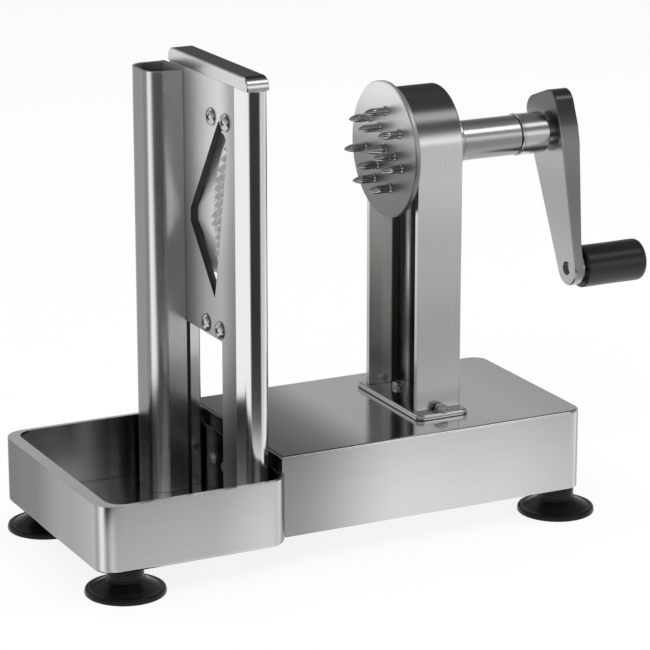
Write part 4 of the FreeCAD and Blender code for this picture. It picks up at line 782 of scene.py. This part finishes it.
def makeRings(inputs):
    # blunt spikes that stand on two circles about an axis along X
    recipe = Recipe("spikeRings", inputs)
    grid = recipe.node("GeometryNodeMeshGrid", values={
        "Size X": 1.0, "Size Y": 1.0,
        "Vertices X": recipe.given("steps"), "Vertices Y": recipe.given("sides")})
    x, y = recipe.parts(recipe.node("GeometryNodeInputPosition"))[:2]
    length, straight = recipe.given("length"), recipe.given("straight")
    along = (x + 0.5) * length
    taper = ((along - straight) / (length - straight)).atLeast(0.0).atMost(1.0)
    full = (1 - taper ** recipe.given("blunt")).atLeast(0.0) ** recipe.given("belly")
    step = recipe.smooth(along, recipe.given("footHeight") * 0.8, recipe.given("footHeight") * 1.2)
    radius = (recipe.given("radius") * full).atLeast(recipe.given("footRadius") * (1 - step))
    angle = (y + 0.5) * math.tau
    place = recipe.joined(along * -1.0, radius * angle.maths("COSINE"), radius * angle.maths("SINE"))
    spun = recipe.node("GeometryNodeSetPosition", values={"Geometry": grid, "Position": place})
    spike = recipe.node("GeometryNodeMergeByDistance", values={"Geometry": spun, "Distance": 0.01 * mm})
    smooth = recipe.node("GeometryNodeSetShadeSmooth", values={0: spike, 2: True})
    circles = []
    for which in ("outer", "inner"):
        circle = recipe.node("GeometryNodeMeshCircle", {"fill_type": "NONE"}, {
            "Vertices": recipe.given(which + "Count"), "Radius": recipe.given(which + "Radius")})
        circles.append(recipe.turned(circle, recipe.joined(0.0, 0.0, recipe.given(which + "Turn"))))
    upright = recipe.turned(recipe.gathered(*circles), (0.0, -math.pi / 2, 0.0))
    spot = recipe.joined(recipe.given("face"), 0.0, recipe.given("axisHeight"))
    points = recipe.node("GeometryNodeTransform", values={"Geometry": upright, "Translation": spot})
    recipe.ending(recipe.node("GeometryNodeInstanceOnPoints", values={"Points": points, "Instance": smooth}))
    return recipe


def makeSpikes(wanted):
    piece = grow("spikeSet", makeRings(wanted), wanted, finishes["spike"])
    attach(piece, "crank")
    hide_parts("spikes")
    print("spikes:", len(piece.data.polygons), "faces")


def makePairs():
    # a seed item at the two ends of two lines, each copy twisted about its own axis
    recipe = Recipe("twoPairs", {
        "firstMiddle": (0.0, 0.0, 0.0), "firstApart": (0.0, 0.0, 0.0),
        "secondMiddle": (0.0, 0.0, 0.0), "secondApart": (0.0, 0.0, 0.0),
        "turn": (0.0, 0.0, 0.0), "twist": 0.0, "seedNumber": 3})
    lines = []
    for which in ("first", "second"):
        apart = recipe.given(which + "Apart")
        start = recipe.node("ShaderNodeVectorMath", {"operation": "SUBTRACT"}, {
            0: recipe.given(which + "Middle"), 1: recipe.scaled(apart, 0.5)})
        values = {"Count": 2, "Start Location": start, "Offset": apart}
        lines.append(recipe.node("GeometryNodeMeshLine", {"mode": "OFFSET"}, values))
    facing = recipe.node("FunctionNodeEulerToRotation", values={0: recipe.given("turn")})
    placed = recipe.node("GeometryNodeInstanceOnPoints", values={
        "Points": recipe.gathered(*lines), "Instance": recipe.given("seed"), "Rotation": facing})
    angle = recipe.node("FunctionNodeRandomValue", {"data_type": "FLOAT"}, {
        2: 0.0, 3: recipe.given("twist"), "Seed": recipe.given("seedNumber")}, output=1)
    own = recipe.node("FunctionNodeEulerToRotation", values={0: recipe.joined(0.0, 0.0, angle)})
    recipe.ending(recipe.node("GeometryNodeRotateInstances", values={
        "Instances": placed, "Rotation": own, "Local Space": True}))
    return recipe


twoPairs = makePairs()


def shankEnd(wanted):
    # the part of a screw's outline below its head, chamfered at the end
    shank, deep = wanted["shankRadius"], wanted["shankLength"]
    return [(shank, 0), (shank, -deep + 0.4 * mm), (shank * 0.8, -deep), (0, -deep)]


crossScrew = {                   # rounded head with a cross recess, its shank below
    "headRadius": 4.7 * mm,
    "headHeight": 2.2 * mm,
    "rimHeight": 0.7 * mm,
    "domeSteps": 8,
    "domeFull": 2.4,             # how flat the dome's top is
    "crossReach": 2.7 * mm,
    "crossWidth": 1.15 * mm,
    "crossDepth": 1.5 * mm,
    "crossShrink": 0.62,         # how much narrower the cross is at its bottom
    "shankRadius": 2.0 * mm,
    "shankLength": 7.0 * mm,
    "sides": 40,
    "apart": 17.0 * mm,
    "twist": 1.4,                # how differently the screws are turned, at most
    "twistSeed": 3,
}


def crossScrewMesh(name, wanted):
    head, high, rim = wanted["headRadius"], wanted["headHeight"], wanted["rimHeight"]
    rise = high - rim
    outline = [(0, high)]
    for step in range(1, wanted["domeSteps"] + 1):
        share = step / wanted["domeSteps"]
        dome = math.sqrt(1 - share ** wanted["domeFull"] * 0.96)
        outline.append((head * share, rim + rise * dome - rise * 0.2 * share ** 6))
    outline += [(head, rim * 0.5), (head * 0.97, 0)] + shankEnd(wanted)
    body = turnedMesh(name, outline, wanted["sides"])
    reach, half = wanted["crossReach"], wanted["crossWidth"] / 2
    cross = []
    for turn in range(4):
        cos, sin = math.cos(turn * math.pi / 2), math.sin(turn * math.pi / 2)
        for x, y in ((reach, -half), (reach, half), (half, half)):
            cross.append((x * cos - y * sin, x * sin + y * cos))
    narrow = [(x * wanted["crossShrink"], y * wanted["crossShrink"]) for x, y in cross]
    tool = layeredMesh(name + "Cross", [(narrow, high - wanted["crossDepth"]), (cross, high + 0.5 * mm)])
    return carved(name, body, tool)


def makeBladeScrews(wanted):
    low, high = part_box("blade_screws")
    head, apart = wanted["headRadius"], wanted["apart"]
    face = low[0] + wanted["headHeight"]
    piece = grow("bladeScrewSet", twoPairs, {
        "firstMiddle": (face, low[1] + head + apart / 2, high[2] - head), "firstApart": (0.0, apart, 0.0),
        "secondMiddle": (face, high[1] - head - apart / 2, low[2] + head), "secondApart": (0.0, apart, 0.0),
        "turn": (0.0, -math.pi / 2, 0.0), "twist": wanted["twist"], "seedNumber": wanted["twistSeed"]},
        finishes["polished"], crossScrewMesh("bladeScrewSeed", wanted))
    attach(piece, "frame")
    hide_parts("blade_screws")
    print("blade screws:", len(piece.data.polygons), "faces")


hexBolt = {
    "headRadius": 3.5 * mm,      # to the corners
    "headHeight": 3.0 * mm,
    "bevel": 0.45 * mm,
    "collarRadius": 4.1 * mm,
    "collarHeight": 0.7 * mm,
    "dishRadius": 1.7 * mm,
    "dishDepth": 0.35 * mm,
    "shankRadius": 2.0 * mm,
    "shankLength": 12.0 * mm,
    "firstApart": 65.4 * mm,     # the outer pair and the inner pair, both across the post
    "secondApart": 32.0 * mm,
    "twist": 1.0,
    "twistSeed": 5,
}


def hexBoltMesh(name, wanted):
    # a hexagon cut to a cone at its upper corners, with a round collar and a shallow dish
    radius, high, bevel = wanted["headRadius"], wanted["headHeight"], wanted["bevel"]
    dish, floor = wanted["dishRadius"], high - wanted["dishDepth"]
    collar, rim = wanted["collarRadius"], wanted["collarHeight"]
    corners = [onCircle(radius, side, 6) for side in range(6)]
    hexagon = layeredMesh(name + "Hexagon", [(corners, -0.1 * mm), (corners, high + 0.5 * mm)])
    cone = turnedMesh(name + "Cone", [
        (0, floor), (dish * 0.8, floor), (dish, high), (radius - bevel * 1.6, high),
        (radius + 0.1 * mm, high - bevel * 0.7), (radius + 0.1 * mm, 0), (0, 0)], 48)
    head = carved(name + "Head", hexagon, cone, "INTERSECT")
    foot = turnedMesh(name + "Foot", [
        (0, rim), (collar - 0.2 * mm, rim), (collar, rim - 0.2 * mm), (collar, 0)] + shankEnd(wanted), 36)
    return carved(name, head, foot, "UNION")


def makePostBolts(wanted):
    low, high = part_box("post_bolts")
    middle = ((low[0] + high[0]) / 2, 0.0, high[2] - wanted["headHeight"])
    piece = grow("postBoltSet", twoPairs, {
        "firstMiddle": middle, "firstApart": (0.0, wanted["firstApart"], 0.0),
        "secondMiddle": middle, "secondApart": (0.0, wanted["secondApart"], 0.0),
        "turn": (0.0, 0.0, 0.0), "twist": wanted["twist"], "seedNumber": wanted["twistSeed"]},
        finishes["polished"], hexBoltMesh("postBoltSeed", wanted))
    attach(piece, "frame")
    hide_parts("post_bolts")
    print("post bolts:", len(piece.data.polygons), "faces")


suctionFoot = {                  # radii and heights
    "height": 15.5 * mm,
    "bore": 2.5 * mm,
    "neck": 9.6 * mm,
    "neckFoot": 8.6 * mm,
    "bead": 0.55 * mm,
    "skirt": 21.0 * mm,
    "shoulder": 5.9 * mm,        # height of the skirt where it starts, and where the lip starts
    "slope": 3.9 * mm,
    "lip": 3.2 * mm,
    "ring": 3.0 * mm,            # width of the ring that stands on the table
    "hollow": 4.2 * mm,
    "seat": 6.0 * mm,
    "seatDepth": 2.4 * mm,
    "sides": 96,
}


def suctionFootMesh(name, wanted):
    top, neck, foot, bead = wanted["height"], wanted["neck"], wanted["neckFoot"], wanted["bead"]
    edge, lip, bore, seat = wanted["skirt"], wanted["lip"], wanted["bore"], wanted["seat"]
    hollow, ceiling = wanted["hollow"], wanted["hollow"] + wanted["seatDepth"]
    outline = [
        (bore, top, 0), (neck, top, 0.5 * mm), (neck, foot, 0.25 * mm),                # neck
        (neck + bead, foot - 0.1 * mm, 0.25 * mm),                                     # bead round its foot
        (neck + bead, foot - bead * 2, 0.25 * mm),
        (neck + 0.15 * mm, foot - bead * 2.4, 0.3 * mm),
        (neck + 2.6 * mm, wanted["shoulder"], 1.5 * mm),                               # skirt
        (edge - 4.6 * mm, wanted["slope"], 1.5 * mm),
        (edge - 2.9 * mm, lip - 0.2 * mm, 0.5 * mm), (edge - 2.4 * mm, lip + 0.15 * mm, 0.6 * mm),  # lip
        (edge - 0.5 * mm, lip - 0.25 * mm, 0.8 * mm), (edge, 1.2 * mm, 0.8 * mm),
        (edge - 0.1 * mm, 0.0, 0.5 * mm), (edge - wanted["ring"], 0.0, 0.5 * mm),      # on the table
        (edge - 8.0 * mm, hollow * 0.62, 3.0 * mm), (seat, hollow, 1.0 * mm),          # hollow below
        (seat, ceiling, 0), (bore, ceiling, 0)]
    return turnedMesh(name, softened(outline), wanted["sides"], closed=True)


def makeFeet(wanted):
    def middle(node):
        low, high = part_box(node)
        return Vector(((low[0] + high[0]) / 2, (low[1] + high[1]) / 2, 0))
    near, far = middle("foot_tray_near"), middle("foot_tray_far")
    baseNear, baseFar = middle("foot_base_near"), middle("foot_base_far")
    piece = grow("suctionFeet", twoPairs, {
        "firstMiddle": tuple((near + far) / 2), "firstApart": tuple(far - near),
        "secondMiddle": tuple((baseNear + baseFar) / 2), "secondApart": tuple(baseFar - baseNear),
        "turn": (0.0, 0.0, 0.0), "twist": 0.0, "seedNumber": 3},
        finishes["rubber"], suctionFootMesh("suctionFootSeed", wanted))
    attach(piece, "frame")
    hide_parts("foot_tray_near", "foot_tray_far", "foot_base_near", "foot_base_far")
    print("feet:", len(piece.data.polygons), "faces")


handGrip = {
    "radius": 11.5 * mm,
    "waist": 0.12 * mm,          # how far the middle is drawn in
    "waistFrom": 0.12,           # shares of the length
    "waistMiddle": 0.5,
    "waistTo": 0.85,
    "waistRound": 0.3,
    "nearRound": 1.0 * mm,
    "endRound": 3.2 * mm,
    "bore": 6.0 * mm,
    "capRadius": 7.0 * mm,
    "capBevel": 0.4 * mm,
    "capDepth": 2.4 * mm,
    "sides": 96,
}


def makeGrip(wanted):
    low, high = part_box("grip")
    length = high[0] - low[0]
    radius, bore, recess = wanted["radius"], wanted["bore"], wanted["capRadius"]
    bevel, floor = wanted["capBevel"], length - wanted["capDepth"]
    outline = [
        (bore, 0.0, 0), (radius, 0.0, wanted["nearRound"]), (radius, length * wanted["waistFrom"], 0),
        (radius - wanted["waist"], length * wanted["waistMiddle"], length * wanted["waistRound"]),
        (radius, length * wanted["waistTo"], 0), (radius, length, wanted["endRound"]),
        (recess + bevel, length, 0.3 * mm), (recess, length - bevel, 0), (recess, floor, 0), (bore, floor, 0)]
    mesh = turnedMesh("handGrip", softened(outline, 7), wanted["sides"], closed=True)
    mesh.transform(Matrix.Translation((low[0], (low[1] + high[1]) / 2, (low[2] + high[2]) / 2))
                   @ Matrix.Rotation(math.pi / 2, 4, "Y"))
    mesh.materials.append(finishes["plastic"])
    piece = newObject("handGrip", mesh)
    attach(piece, "handle")
    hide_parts("grip")
    print("grip:", len(mesh.polygons), "faces")


footPlate = {
    "corner": 4.6 * mm,
    "edge": 1.1 * mm,            # round of its upper edge
    "edgeSteps": 6,
    "foot": 0.25 * mm,           # bevel of its lower edge
}


def makeFootPlate(wanted):
    low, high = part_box("post_foot_plate")
    middle = [(low[axis] + high[axis]) / 2 for axis in range(3)]
    half = [(high[axis] - low[axis]) / 2 for axis in range(3)]
    edge, foot = wanted["edge"], wanted["foot"]
    insets = [(foot, low[2]), (0.0, low[2] + foot)]
    for step in range(wanted["edgeSteps"] + 1):
        angle = step * math.pi / 2 / wanted["edgeSteps"]
        insets.append((edge * (1 - math.cos(angle)), high[2] - edge * (1 - math.sin(angle))))
    layers = []
    for inset, height in insets:
        reach, side, corner = half[0] - inset, half[1] - inset, wanted["corner"] - inset
        outline = softened([(-reach, -side, corner), (reach, -side, corner), (reach, side, corner),
                            (-reach, side, corner)], 10)
        layers.append(([(middle[0] + x, middle[1] + y) for x, y in outline], height))
    mesh = smoothed(layeredMesh("footPlate", layers), "pressed")
    mesh.materials.append(finishes["polished"])
    piece = newObject("footPlate", mesh)
    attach(piece, "frame")
    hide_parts("post_foot_plate")
    print("foot plate:", len(mesh.polygons), "faces")


makeSpikes(spikes)
makeBladeScrews(crossScrew)
makePostBolts(hexBolt)
makeFeet(suctionFoot)
makeGrip(handGrip)
makeFootPlate(footPlate)

bpy.context.scene.view_settings.view_transform = "Standard"
